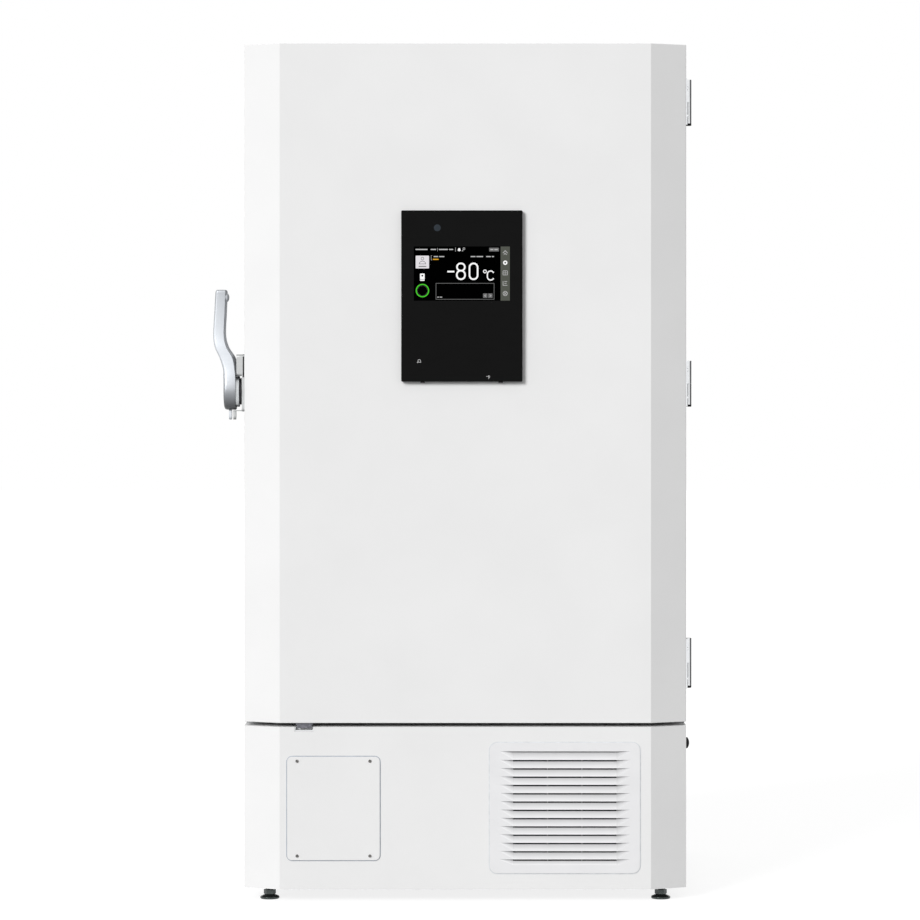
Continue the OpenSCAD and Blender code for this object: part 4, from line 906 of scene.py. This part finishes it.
@dataclass
class OuterDoor:
    """Outer door with its folded front sheet, inner panel and gasket."""

    bend: float = 1.2 * MM
    pin: tuple[float, float] = (0.55225, -0.35675)
    barrel_radius: float = 7.0 * MM
    hinge_feet: tuple[float, ...] = (0.491, 1.1495, 1.808)
    cap_height: float = 4.5 * MM
    cap_wall: float = 0.5 * MM
    cap_grip: float = 0.6 * MM
    cap_round: float = 0.8 * MM

    def dress(self) -> None:
        """Dress the solids of the door."""
        Dressing(CABINET_WHITE, self.bend, 3).put_on("door_skin")
        Dressing(FOAM).put_on("door_insulation")
        Dressing(INNER_WHITE, 1.5 * MM, 3).put_on("door_inner_panel")
        Dressing(SEAL, 0.8 * MM).put_on("door_gasket")
        Dressing(TAB_GREY, 0.4 * MM).put_on("door_tab")
        for node in ("hinge_barrels", "hinge_pintles"):
            Dressing(HINGE_METAL, 0.5 * MM).put_on(node)
        self.hinge_caps()

    def hinge_caps(self) -> None:
        """Black plastic caps over the lower ends of the hinges."""
        bm = bmesh.new()
        outer, inner = self.barrel_radius + self.cap_wall, self.barrel_radius - self.cap_grip
        profile = [(inner, 0.4 * MM), (inner, -self.cap_grip), (outer - self.cap_round, -self.cap_grip),
                   (outer, 0.2 * MM), (outer, self.cap_height), (inner, self.cap_height)]
        # The caps are thickest towards the door, so that they don't widen the object.
        pin_x, pin_y = self.pin
        for foot in self.hinge_feet:
            lathe(bm, profile, Vector((pin_x - self.cap_wall, pin_y, foot)), "Z", 48)
        piece("hinge_caps", bm, BLACK_RUBBER, Body.CABINET)


@dataclass
class InnerDoors:
    """The two insulated doors behind the outer one."""

    def dress(self) -> None:
        """Dress both doors and their gaskets."""
        for half in ("upper", "lower"):
            Dressing(INNER_WHITE, 1.5 * MM, 3).put_on(f"inner_door_{half}")
            Dressing(SEAL, 0.8 * MM).put_on(f"inner_gasket_{half}")


@dataclass
class MachineBase:
    """Front cover, grille, blank plate and what runs behind them."""

    shadow_line_width: float = 2.2 * MM
    shadow_line_proud: float = 0.3 * MM
    grille_corner: float = 18.0 * MM
    plate_corner: float = 12.0 * MM

    def dress(self) -> None:
        """Dress the solids of the machine compartment."""
        Dressing(CABINET_WHITE).put_on("front_cover")
        Dressing(GRILLE_PLASTIC, 0.5 * MM).put_on("grille")
        Dressing(CABINET_WHITE, 0.8 * MM).put_on("blank_plate")
        Dressing(INNER_WHITE, 0.4 * MM).put_on("latch_pocket")
        Dressing(BASE_PAINT, 0.8 * MM).put_on("base_frame")
        Dressing(FILTER).put_on("condenser_filter")
        Dressing(FINS).put_on("condenser")
        for node in ("fan_shroud", "control_box"):
            Dressing(SHEET_GREY, 0.5 * MM).put_on(node)
        for node in ("fan_motor", "compressor_high", "compressor_low"):
            Dressing(ENAMEL).put_on(node)
        Dressing(FINS).put_on("fan_blades")
        Dressing(COPPER).put_on("pipework")
        Dressing(SCREW_DARK, 0.3 * MM).put_on("plate_screws")
        Dressing(BLACK_RUBBER).put_on("side_plug")
        # Painted shadow lines round the grille and the blank plate stand in for the shade in the gaps at
        # their edges.
        self.painted_shadow_line("grille", self.grille_corner, SHADOW_LINE_GREY)
        self.painted_shadow_line("blank_plate", self.plate_corner, SHADOW_LINE_BLUE)

    def painted_shadow_line(self, node: str, corner: float, finish: Finish) -> None:
        """Painted shadow: a thin dark strip on the cover round a piece that is set on it.

        Args:
            node: The piece.
            corner: Radius of its corners.
            finish: Finish of the bead.
        """
        low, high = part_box(node)
        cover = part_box("front_cover")[0].y
        half = self.shadow_line_width / 2
        path = round_rect_loop((low.x + high.x) / 2, (low.z + high.z) / 2,
                               high.x - low.x + 2 * half, high.z - low.z + 2 * half, corner + half)
        bm = bmesh.new()
        stroke(bm, path, self.shadow_line_width, cover - self.shadow_line_proud, cover + 0.2 * MM, True)
        piece(f"{node}_bead", bm, finish, Body.CABINET)


@dataclass
class RunningGear:
    """Casters and levelling feet."""

    corners: tuple[str, ...] = ("fl", "fr", "rl", "rr")

    def dress(self) -> None:
        """Dress forks, wheels and feet."""
        for corner in self.corners:
            Dressing(ZINC, 0.4 * MM).put_on(f"caster_fork_{corner}")
            low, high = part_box(f"caster_wheel_{corner}")
            wheel = RolledWheel(f"wheel_{corner}", (0.02, 0.021, 0.022), 0.6, 0.3,
                                centre=tuple((low + high) / 2))
            Dressing(wheel).put_on(f"caster_wheel_{corner}")
        Dressing(FOOT_DARK, 0.5 * MM).put_on("levelling_feet")


@dataclass
class DisplayPicture:
    """Picture on the display, drawn in millimetres from the display's upper left corner."""

    width: float = 223.0
    height: float = 126.0
    left: float = -119.5
    top: float = 1521.0
    floor: float = -12.2
    ink: float = 0.12
    digit_line: float = 3.8

    def spot(self, across: float, down: float) -> tuple[float, float]:
        """A place on the picture, from its upper left corner."""
        return at_front(self.left + across, self.top - down)

    def depth(self, layer: int) -> tuple[float, float]:
        """Rear and front depth of a layer of the picture, the first lying on the display."""
        rear = FRONT + (self.floor - (layer - 1) * self.ink) * MM
        return rear, rear - self.ink * MM

    def path(self, points: Loop) -> list[tuple[float, float]]:
        """A path given in picture millimetres, in the frame."""
        return [self.spot(a, d) for a, d in points]

    @staticmethod
    def bar(left: float, right: float, down: float, width: float = 2.4) -> Line:
        """A word shown as a plain bar, for lines()."""
        return [(left, down), (right, down)], width, False

    def lines(self, name: str, finish: Finish, paths: Sequence[Line], layer: int = 1) -> None:
        """Draw several lines as one piece.

        Args:
            name: Name of the piece.
            finish: Its finish.
            paths: For each line its points, its width in millimetres and whether it closes.
            layer: Layer that it lies in.
        """
        bm = bmesh.new()
        rear, near = self.depth(layer)
        for points, width, closed in paths:
            stroke(bm, self.path(points), width * MM, rear, near, closed)
        piece(name, bm, finish, Body.DOOR)

    def plates(self, name: str, finish: Finish, loops: Sequence[Sequence[Loop]], layer: int = 1) -> None:
        """Draw several filled outlines as one piece.

        Args:
            name: Name of the piece.
            finish: Its finish.
            loops: For each plate its outline, then one loop for each hole.
            layer: Layer that it lies in.
        """
        bm = bmesh.new()
        rear, near = self.depth(layer)
        for outline in loops:
            prism(bm, [self.path(loop) for loop in outline], Plane.FRONT, rear, near)
        piece(name, bm, finish, Body.DOOR)

    def build(self) -> None:
        """Draw the whole picture."""
        self.ground()
        self.reading()
        self.status_row()
        self.left_column()
        self.graph_box()
        self.sidebar()

    def ground(self) -> None:
        """Black ground of the picture."""
        inset = 0.4
        ground = round_rect_loop(self.width / 2, self.height / 2, self.width - inset,
                                 self.height - inset, 0.6)
        rear = FRONT + self.floor * MM
        bm = bmesh.new()
        prism(bm, [self.path(ground)], Plane.FRONT, rear + 0.02 * MM, rear - 0.03 * MM)
        piece("display_ground", bm, SCREEN_BLACK, Body.DOOR)

    def reading(self) -> None:
        """The large reading: minus eighty degrees."""
        line = self.digit_line
        top, foot = 37.6 + line / 2, 78.0 - line / 2
        waist = 56.2
        eight_x, eight_w = 109.3, 22.8 - line
        zero_x, zero_w = 138.6, 22.6 - line
        upper = round_rect_loop(eight_x, (top + waist) / 2, eight_w - 1.0, waist - top,
                                (waist - top) / 2 - 0.2)
        lower = round_rect_loop(eight_x, (waist + foot) / 2, eight_w, foot - waist, eight_w / 2 - 0.3)
        zero = round_rect_loop(zero_x, (top + foot) / 2, zero_w, foot - top, zero_w / 2 - 0.3)
        self.lines("display_reading", PICTURE_WHITE, [
            ([(77.9, 58.4), (94.2, 58.4)], line, False),
            (upper, line, True), (lower, line, True), (zero, line, True)])
        degree = circle_loop(165.0, 58.0, 3.4, 24)
        top_arc = [(u, 64.6 - (d - 64.6)) for u, d in arc_path(178.2, 64.6, 7.6, 25, 180, 14)]
        low_arc = [(u, 70.4 + (d - 64.6)) for u, d in arc_path(178.2, 64.6, 7.6, 180, 25, 14)]
        self.lines("display_unit", PICTURE_WHITE, [
            (degree, 1.9, True), (top_arc + low_arc, 2.7, False)])

    def status_row(self) -> None:
        """Top row: words as plain bars, a bell, a key and a grey tag."""
        row = 7.1
        words = ((4.2, 31.8), (39.2, 51.8), (58.2, 79.0), (82.0, 91.2))
        self.lines("display_status_bars", PICTURE_SOFT, [
            *(self.bar(left, right, row, 2.6) for left, right in words),
            ([(55.0, 3.6), (55.0, 11.0)], 0.7, False), ([(96.8, 2.8), (96.8, 12.0)], 0.8, False)])
        bell = arc_path(105.4, 6.6, 2.7, 180, 360, 12) + [(109.2, 10.2), (101.6, 10.2)]
        bob = circle_loop(105.4, 11.0, 0.9, 14)
        self.plates("display_bell", PICTURE_WHITE, [[bell], [bob]])
        self.lines("display_key", PICTURE_SOFT, [
            (circle_loop(116.4, 5.4, 2.2, 20), 1.1, True), ([(115.0, 7.0), (111.8, 11.0)], 1.2, False),
            ([(112.6, 9.6), (114.4, 11.2)], 1.1, False)])
        self.plates("display_tag", PICTURE_GREY, [[round_rect_loop(186.1, 7.4, 22.6, 8.6, 1.0)]])
        self.lines("display_tag_bars", PICTURE_SOFT, [
            self.bar(177.6, 184.6, 7.4), self.bar(187.0, 194.6, 7.4)], 2)

    def left_column(self) -> None:
        """Tile with a figure, small caption bars, freezer sign and green ring."""
        self.plates("display_tile", PICTURE_TILE, [[round_rect_loop(20.0, 36.3, 31.0, 29.6, 1.6)]])
        shoulders = [(12.8, 40.6)] + arc_path(20.2, 40.6, 7.4, 180, 360, 18)[1:-1] + [(27.6, 40.6)]
        shoulders = [(u, 40.6 + (d - 40.6) * 0.86) for u, d in shoulders]
        self.lines("display_figure", PICTURE_DARK, [
            (circle_loop(20.2, 28.4, 3.1, 22), 1.0, True), (shoulders, 1.0, True)], 2)
        self.lines("display_tile_bar", PICTURE_GREY, [self.bar(11.4, 29.2, 46.4, 2.2)], 2)
        self.lines("display_caption", PICTURE_SOFT, [
            self.bar(46.2, 56.4, 23.6), self.bar(59.0, 70.8, 23.6),
            ([(42.6, 21.6), (40.4, 21.6), (40.4, 31.4), (42.6, 31.4)], 0.7, False)])
        self.lines("display_caption_value", PICTURE_ORANGE, [self.bar(44.6, 57.4, 30.0)])
        words = ((132.0, 143.0), (145.4, 160.6), (168.0, 178.6), (181.0, 186.0))
        self.lines("display_set_point", PICTURE_SOFT, [self.bar(left, right, 23.6) for left, right in words])
        sign = round_rect_loop(19.9, 71.4, 10.8, 17.0, 1.6)
        self.plates("display_freezer_sign", PICTURE_WHITE, [[sign, circle_loop(19.9, 68.0, 2.1, 18)]])
        self.lines("display_freezer_line", PICTURE_DARK, [self.bar(14.6, 25.2, 76.4, 0.9)], 2)
        self.lines("display_ring", PICTURE_GREEN, [(circle_loop(20.2, 102.4, 14.3, 56), 2.6, True)])
        dashes = [(arc_path(20.2, 102.4, 11.4, a, a + 9, 3), 0.6, False) for a in range(0, 360, 18)]
        self.lines("display_ring_dashes", PICTURE_GREY, dashes)

    def graph_box(self) -> None:
        """Framed box for the graph, with its two small buttons."""
        left, right, top, foot = 51.6, 186.2, 85.6, 122.6
        frame_loop = [(left, top), (right, top), (right, foot), (left, foot)]
        self.lines("display_graph_frame", PICTURE_GREY, [(frame_loop, 1.1, True)])
        self.plates("display_buttons", PICTURE_GREY, [
            [round_rect_loop(across, 114.2, 10.0, 10.2, 0.8)] for across in (165.7, 177.5)])
        self.lines("display_button_marks", PICTURE_SOFT, [
            ([(167.4, 111.8), (163.8, 114.2), (167.4, 116.6)], 1.1, False),
            ([(175.8, 111.8), (179.4, 114.2), (175.8, 116.6)], 1.1, False)], 2)
        self.lines("display_graph_bars", PICTURE_SOFT, [
            self.bar(54.4, 58.4, 117.6, 2.0), self.bar(60.2, 65.8, 117.6, 2.0)])

    def sidebar(self) -> None:
        """Grey bar on the right with its five signs."""
        middle, width = 212.0, 21.4
        self.plates("display_sidebar", PICTURE_BAR, [
            [round_rect_loop(middle, self.height / 2, width, self.height - 0.6, 0.4)]])
        signs = [
            ([(middle - 5.4, 15.6), (middle, 9.8), (middle + 5.4, 15.6)], 1.5, False),
            ([(middle - 3.4, 19.4), (middle - 0.6, 16.0), (middle + 3.6, 19.4)], 1.4, False),
            (round_rect_loop(middle, 61.4, 10.4, 9.6, 1.0, 2), 1.2, True),
            self.bar(middle - 4.6, middle + 4.6, 61.4, 0.9),
            ([(middle, 57.0), (middle, 65.8)], 0.9, False),
            ([(middle - 5.0, 80.6), (middle - 5.0, 90.2), (middle + 5.0, 90.2)], 1.3, False),
            self.bar(middle - 2.0, middle + 4.6, 81.4, 1.3),
            self.bar(middle - 2.0, middle + 3.0, 85.6, 1.3),
            (circle_loop(middle, 109.2, 5.0, 24), 1.3, True),
            ([(middle - 3.6, 105.6), (middle + 3.6, 112.8)], 1.2, False),
            ([(middle + 3.6, 105.6), (middle - 3.6, 112.8)], 1.2, False)]
        self.lines("display_signs", PICTURE_SOFT, signs, 2)
        self.lines("display_gear", PICTURE_WHITE, [(circle_loop(middle, 37.8, 3.6, 28), 3.0, True)], 2)


@dataclass
class ControlPanel:
    """Touch panel on the door: housing, front glass, display picture and printed marks, two glowing as
    painted light.
    """

    middle_x: float = -8.0
    middle_z: float = 1406.0
    face: float = -12.5
    print_depth: float = 0.08
    sensor: tuple[float, float] = (-56.9, 158.0)
    bell: tuple[float, float] = (-99.3, -150.6)
    plug_mark: tuple[float, float] = (61.5, -188.0)
    picture: DisplayPicture = field(default_factory=DisplayPicture)

    def dress(self) -> None:
        """Dress the housing and the glass, then add what is on them."""
        Dressing(PANEL_BLACK, 0.6 * MM).put_on("panel_housing")
        Dressing(PANEL_GLASS, 0.5 * MM).put_on("display_glass")
        self.picture.build()
        self.marks()

    def spot(self, across: float, up: float) -> tuple[float, float]:
        """A place on the panel from its middle, in millimetres."""
        return at_front(self.middle_x + across, self.middle_z + up)

    def marks(self) -> None:
        """Sensor window, bell sign and the plain sign over the data socket; both signs glow as painted
        light.
        """
        near = FRONT + self.face * MM
        rear, face = near + 0.02 * MM, near - self.print_depth * MM
        bm = bmesh.new()
        u, v = self.spot(*self.sensor)
        lathe(bm, [(0.0, 0.0), (7.2 * MM, 0.0), (8.0 * MM, 0.02 * MM), (8.0 * MM, -0.05 * MM),
                   (7.4 * MM, -0.1 * MM), (0.0, -0.12 * MM)], Vector((u, near, v)), "Y", 40)
        piece("panel_sensor", bm, SENSOR_DARK, Body.DOOR)
        # The bell and socket signs are print in the display's glowing finish: painted light, a glow of their
        # own.
        bm = bmesh.new()
        bell_u, bell_v = self.bell
        dome = [(bell_u + a, bell_v + b) for a, b in
                [(-3.6, -3.0), (-1.6, -1.2)] + arc_path(0.6, 0.4, 2.9, 200, -20, 14) + [(4.2, -3.0)]]
        stroke(bm, [self.spot(a, b) for a, b in dome], 1.2 * MM, rear, face, True)
        stroke(bm, [self.spot(bell_u - 4.4, bell_v - 4.8), self.spot(bell_u - 2.6, bell_v - 1.4)],
               1.0 * MM, rear, face)
        piece("panel_bell", bm, PICTURE_SOFT, Body.DOOR)
        bm = bmesh.new()
        plug_u, plug_v = self.plug_mark
        for path in ([(-5.0, 1.6), (-1.0, 1.6), (0.4, 3.4), (4.0, 1.6)], [(0.8, 2.6), (0.8, -4.4)],
                     [(0.8, -2.2), (2.6, -0.4), (2.6, 1.0)]):
            stroke(bm, [self.spot(plug_u + a, plug_v + b) for a, b in path], 1.1 * MM, rear, face)
        piece("panel_socket_sign", bm, PICTURE_SOFT, Body.DOOR)


@dataclass
class LeverLevel:
    """Section of the lever at one height above its pivot, in millimetres.

    Its inner and outer reach are from the door's side, its fore and aft depths from the pivot. The
    corner is the radius of its round corners and the flank the width of the slope that takes the
    place of the fourth.
    """

    height: float
    inner: float
    outer: float
    fore: float
    aft: float
    corner: float
    flank: float


@dataclass
class SideHandle:
    """Cast lever on the left side, with its bracket, latch hook and key lock."""

    pivot_y: float = 66.0
    pivot_z: float = 1185.0
    boss_radius: float = 43.0
    boss_round: float = 7.0
    boss_outer: float = 48.5
    boss_width: float = 28.0
    disc_radius: float = 36.0
    disc_inner: float = 13.1
    pin_radius: float = 6.05
    lock_radius: float = 9.05
    lock_depth: float = 8.0
    lug_radius: float = 9.0
    lug_hole: float = 4.5
    lug_drop: float = 57.0
    lug_root: float = 6.0
    lug_reach: tuple[float, float] = (31.2, 37.5)
    knob: tuple[float, float, float] = (43.4, -12.5, 219.0)
    knob_radii: tuple[float, float, float] = (7.2, 11.5, 11.0)
    strip_ends: tuple[float, float] = (-27.0, 23.0)
    strip_heights: tuple[float, float] = (33.0, 86.0)
    strip_corner: float = 8.0
    strip_width: float = 1.0
    strip_reach: tuple[float, float] = (1.2, 4.2)
    sleeve_wall: float = 0.3
    sleeve_edge: float = 0.4
    levels: tuple[LeverLevel, ...] = (
        LeverLevel(6, 20.7, 48.6, -42.4, 38, 8, 0.4),
        LeverLevel(17, 20.7, 48.7, -40.0, 35, 8, 0.5),
        LeverLevel(31, 20.7, 49.4, -36.0, 31, 8, 0.8),
        LeverLevel(52, 20.7, 50.5, -31.5, 24, 7, 3.0),
        LeverLevel(78, 22.5, 58.5, -29, 14, 6, 6.5),
        LeverLevel(104, 38, 70, -28, 6, 6, 5.5),
        LeverLevel(133, 44.5, 73.5, -26, 2, 5.5, 4.5),
        LeverLevel(182, 42.6, 71.0, -25.5, 1, 5.5, 4.5),
        LeverLevel(226, 40.8, 68.7, -25.1, 0.1, 5.5, 4.5),
        LeverLevel(232, 41.0, 68.0, -24.7, -0.5, 5.5, 4.2),
        LeverLevel(235.5, 42.0, 66.6, -23.6, -1.6, 5.0, 3.6),
        LeverLevel(237, 44.4, 64.2, -21.2, -4.0, 4.5, 2.4),
    )

    def place(self, reach: float, aft: float, up: float) -> Vector:
        """A point by its reach from the door's side, its depth from the pivot and its height from it."""
        return Vector((LEFT_SIDE - reach * MM, FRONT + (self.pivot_y + aft) * MM, (self.pivot_z + up) * MM))

    def dress(self) -> None:
        """Dress the bracket, hook and lock, and build the lever."""
        Dressing(BRACKET_GREY, 1.0 * MM).put_on("handle_bracket")
        Dressing(HOOK_DARK, 0.4 * MM).put_on("latch_hook")
        Dressing(LOCK_STEEL, 0.4 * MM).put_on("lock_cylinder")
        self.strip()
        self.painted_light_sleeve()
        self.lever()

    def strip(self) -> None:
        """Black rubber strip round the upper half of the bracket's foot."""
        radius = self.strip_corner * MM
        front, rear = (FRONT + (self.pivot_y + y) * MM for y in self.strip_ends)
        low, high = ((self.pivot_z + z) * MM for z in self.strip_heights)
        path = ([(rear, low)] + arc_path(rear - radius, high - radius, radius, 0, 90, 8)
                + arc_path(front + radius, high - radius, radius, 90, 180, 8) + [(front, low)])
        near, far = (LEFT_SIDE - reach * MM for reach in self.strip_reach)
        bm = bmesh.new()
        stroke(bm, path, self.strip_width * MM, far, near, plane=Plane.SIDE)
        piece("bracket_strip", bm, BLACK_RUBBER, Body.DOOR)

    def painted_light_sleeve(self) -> None:
        """Painted light: a bright steel sleeve on the disc between the boss and the bracket, where shade
        falls.
        """
        outer, inner = self.boss_outer - self.boss_width, self.disc_inner
        disc, sleeve, lip = self.disc_radius, self.disc_radius + self.sleeve_wall, inner - self.sleeve_wall
        profile = [(disc, outer), (disc, inner + 1.0), (disc - 1.0, inner - 0.2), (disc - 0.8, lip),
                   (sleeve - self.sleeve_edge, lip), (sleeve, inner + self.sleeve_edge), (sleeve, outer)]
        bm = bmesh.new()
        lathe(bm, [(r * MM, -along * MM) for r, along in profile], self.place(0.0, 0.0, 0.0), "X", 96)
        piece("boss_painted_light_sleeve", bm, PAINTED_LIGHT_STEEL, Body.HANDLE)

    def section(self, level: LeverLevel, steps: int = 5) -> list[Vector]:
        """Ring of points round the lever at one level.

        Args:
            level: The section's sizes.
            steps: Segments in each round corner.

        Returns:
            The ring, starting at the ridge between the front and the inner flank.
        """
        corners = ((level.outer, level.fore, 1, 1, 270), (level.outer, level.aft, 1, -1, 0),
                   (level.inner, level.aft, -1, -1, 90))
        radius = level.corner
        points = [(level.inner + level.flank, level.fore)]
        for reach, depth, side, face, start in corners:
            cu = reach - side * radius
            cv = depth + face * radius
            for i in range(steps + 1):
                a = math.radians(start + 90 * i / steps)
                points.append((cu + radius * math.cos(a), cv + radius * math.sin(a)))
        points.append((level.inner, level.fore + 1.6 * level.flank + 1.0))
        return [self.place(reach, aft, level.height) for reach, aft in points]

    def smooth_levels(self, steps: int = 6) -> list[LeverLevel]:
        """Put further levels on a smooth curve between the given ones.

        Args:
            steps: Levels from each given one to the next.

        Returns:
            All levels in order.
        """
        fine = []
        rows = [list(vars(level).values()) for level in self.levels]
        for i in range(len(rows) - 1):
            a, b = rows[i], rows[i + 1]
            before = rows[max(i - 1, 0)]
            after = rows[min(i + 2, len(rows) - 1)]
            for k in range(steps):
                t = k / steps
                fine.append(LeverLevel(*(
                    self.curve(p, q, r, s, t) for p, q, r, s in zip(before, a, b, after))))
        fine.append(self.levels[-1])
        return fine

    @staticmethod
    def curve(before: float, start: float, end: float, after: float, share: float) -> float:
        """Find a value on the smooth curve through four evenly spaced ones.

        Args:
            before: The first value.
            start: The second, where the span begins.
            end: The third, where it ends.
            after: The fourth.
            share: Place within the span from 0 to 1.

        Returns:
            The value there.
        """
        pull_in, pull_out = (end - before) / 2, (after - start) / 2
        square, cube = share * share, share * share * share
        return (start * (2 * cube - 3 * square + 1) + pull_in * (cube - 2 * square + share)
                + end * (3 * square - 2 * cube) + pull_out * (cube - square))

    def lever(self) -> None:
        """Grip, cranked arm, boss, end knob and padlock lug in one casting."""
        bm = bmesh.new()
        loft(bm, [self.section(level) for level in self.smooth_levels()])
        self.boss(bm)
        self.end_knob(bm)
        self.padlock_lug(bm)
        casting = piece("lever_casting", bm, LEVER_SILVER, Body.HANDLE, 0.0, 28.0)
        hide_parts("handle_lever")

    def boss(self, bm: bmesh.types.BMesh) -> None:
        """Round boss with the bores for the pivot pin and the lock.

        Args:
            bm: Mesh to add to.
        """
        outer, inner = self.boss_outer, self.boss_outer - self.boss_width
        round_edge = [(self.boss_radius - self.boss_round + self.boss_round * math.sin(math.radians(a)),
                       outer - self.boss_round + self.boss_round * math.cos(math.radians(a)))
                      for a in range(0, 91, 15)]
        profile = [(self.lock_radius, outer - self.lock_depth), (self.lock_radius, outer - 0.6),
                   (self.lock_radius + 0.6, outer)] + round_edge + [
                   (self.boss_radius, inner + 1.0), (self.boss_radius - 1.0, inner),
                   (self.disc_radius, inner), (self.disc_radius, self.disc_inner + 1.0),
                   (self.disc_radius - 1.0, self.disc_inner), (self.pin_radius, self.disc_inner),
                   (self.pin_radius, outer - self.lock_depth)]
        lathe(bm, [(r * MM, -along * MM) for r, along in profile], self.place(0.0, 0.0, 0.0), "X", 96)

    def end_knob(self, bm: bmesh.types.BMesh) -> None:
        """Swelling on the inner side of the grip's end.

        Args:
            bm: Mesh to add to.
        """
        reach, aft, up = self.knob
        reach_radius, aft_radius, up_radius = self.knob_radii
        bands, steps = 12, 24
        rings = []
        for i in range(1, bands):
            polar = math.pi * i / bands
            girth, height = math.sin(polar), up + up_radius * math.cos(polar)
            turns = [math.tau * k / steps for k in range(steps)]
            rings.append([self.place(reach + reach_radius * girth * math.cos(turn),
                                     aft + aft_radius * girth * math.sin(turn), height) for turn in turns])
        loft(bm, rings)

    def padlock_lug(self, bm: bmesh.types.BMesh) -> None:
        """Lug that hangs from the boss, with a hole for a padlock.

        Args:
            bm: Mesh to add to.
        """
        middle = FRONT + self.pivot_y * MM
        low = (self.pivot_z - self.lug_drop) * MM
        top = (self.pivot_z - self.boss_radius + self.lug_root) * MM
        radius = self.lug_radius * MM
        outline = (arc_path(middle, low, radius, 180, 360, 20)
                   + [(middle + radius, top), (middle - radius, top)])
        near, far = (LEFT_SIDE - reach * MM for reach in self.lug_reach)
        prism(bm, [outline, circle_loop(middle, low, self.lug_hole * MM, 32)], Plane.SIDE, far, near)


# Studio


@dataclass
class Studio:
    """Camera, light and floor."""

    eye_distance: float = 7.8
    eye_height: float = 1.2
    lens_mm: float = 131.5
    sensor_mm: float = 36.0
    sight: float = 200.0
    picture_px: float = 920.0
    middle_px: float = 465.3
    horizon_px: float = 384.9
    sun_azimuth: float = 35.0
    sun_elevation: float = 24.0
    sun_strength: float = 2.64
    sun_spread: float = 24.0
    sky: Colour = (0.515, 0.515, 0.515)
    floor_size: float = 60.0
    floor_tone: Colour = (0.3, 0.3, 0.3)
    floor_glow: Colour = (0.84, 0.84, 0.84)

    def build(self) -> None:
        """Set up the whole studio."""
        self.camera()
        self.light()
        self.floor()
        bpy.context.scene.view_settings.view_transform = "Standard"

    def camera(self) -> None:
        """Level camera in front of the door, shifted to frame the freezer as the photograph does."""
        data = bpy.data.cameras.new("camera")
        data.lens = self.lens_mm
        data.sensor_width = self.sensor_mm
        data.clip_end = self.sight
        data.shift_x = (self.picture_px / 2 - self.middle_px) / self.picture_px
        data.shift_y = (self.horizon_px - self.picture_px / 2) / self.picture_px
        eye = bpy.data.objects.new("camera", data)
        eye.location = (MIDDLE, FRONT - self.eye_distance, self.eye_height)
        eye.rotation_euler = (math.radians(90), 0.0, 0.0)
        bpy.context.scene.collection.objects.link(eye)
        bpy.context.scene.camera = eye

    def light(self) -> None:
        """Broad sun from the front left over an even sky, with a white surround."""
        data = bpy.data.lights.new("sun", "SUN")
        data.energy = self.sun_strength
        data.angle = math.radians(self.sun_spread)
        sun = bpy.data.objects.new("sun", data)
        sun.rotation_euler = (math.radians(90 - self.sun_elevation), 0.0, math.radians(-self.sun_azimuth))
        bpy.context.scene.collection.objects.link(sun)
        world = bpy.data.worlds.new("surround")
        world.use_nodes = True
        tree = world.node_tree
        sky = tree.nodes["Background"]
        sky.inputs["Color"].default_value = (*self.sky, 1.0)
        white = tree.nodes.new("ShaderNodeBackground")
        white.inputs["Color"].default_value = (1.0, 1.0, 1.0, 1.0)
        mix = tree.nodes.new("ShaderNodeMixShader")
        tree.links.new(seen_share(tree), mix.inputs["Fac"])
        tree.links.new(sky.outputs["Background"], mix.inputs[1])
        tree.links.new(white.outputs["Background"], mix.inputs[2])
        tree.links.new(mix.outputs["Shader"], tree.nodes["World Output"].inputs["Surface"])
        bpy.context.scene.world = world

    def floor(self) -> None:
        """Plain pale floor that keeps the freezer's shadow."""
        bm = bmesh.new()
        bmesh.ops.create_grid(bm, x_segments=1, y_segments=1, size=self.floor_size / 2)
        mesh = bpy.data.meshes.new("floor")
        bm.to_mesh(mesh)
        bm.free()
        plane = bpy.data.objects.new("floor", mesh)
        bpy.context.scene.collection.objects.link(plane)
        material = bpy.data.materials.new("floor_pale")
        material.use_nodes = True
        tree = material.node_tree
        tree.nodes.remove(tree.nodes["Principled BSDF"])
        shade = tree.nodes.new("ShaderNodeBsdfDiffuse")
        shade.inputs["Color"].default_value = (*self.floor_tone, 1.0)
        glow = tree.nodes.new("ShaderNodeEmission")
        lift = tree.nodes.new("ShaderNodeAddShader")
        tree.links.new(seen_share(tree), glow.inputs["Strength"])
        glow.inputs["Color"].default_value = (*self.floor_glow, 1.0)
        tree.links.new(shade.outputs["BSDF"], lift.inputs[0])
        tree.links.new(glow.outputs["Emission"], lift.inputs[1])
        tree.links.new(lift.outputs["Shader"], tree.nodes["Material Output"].inputs["Surface"])
        mesh.materials.append(material)


def seen_share(tree: bpy.types.NodeTree) -> bpy.types.NodeSocket:
    """Add a value that is 1 for what the camera sees, directly or by reflection or through glass.

    Args:
        tree: The node tree to add it to.

    Returns:
        The value's socket.
    """
    path = tree.nodes.new("ShaderNodeLightPath")
    total = path.outputs["Is Camera Ray"]
    for ray in ("Is Glossy Ray", "Is Transmission Ray"):
        larger = tree.nodes.new("ShaderNodeMath")
        larger.operation = "MAXIMUM"
        tree.links.new(total, larger.inputs[0])
        tree.links.new(path.outputs[ray], larger.inputs[1])
        total = larger.outputs["Value"]
    return total


def main() -> None:
    """Build the studio and every sub-assembly in order."""
    Studio().build()
    for assembly in (Cabinet(), OuterDoor(), InnerDoors(), MachineBase(), RunningGear(),
                     ControlPanel(), SideHandle()):
        log.info("building %s", type(assembly).__name__)
        assembly.dress()


if __name__ == "__main__":
    main()
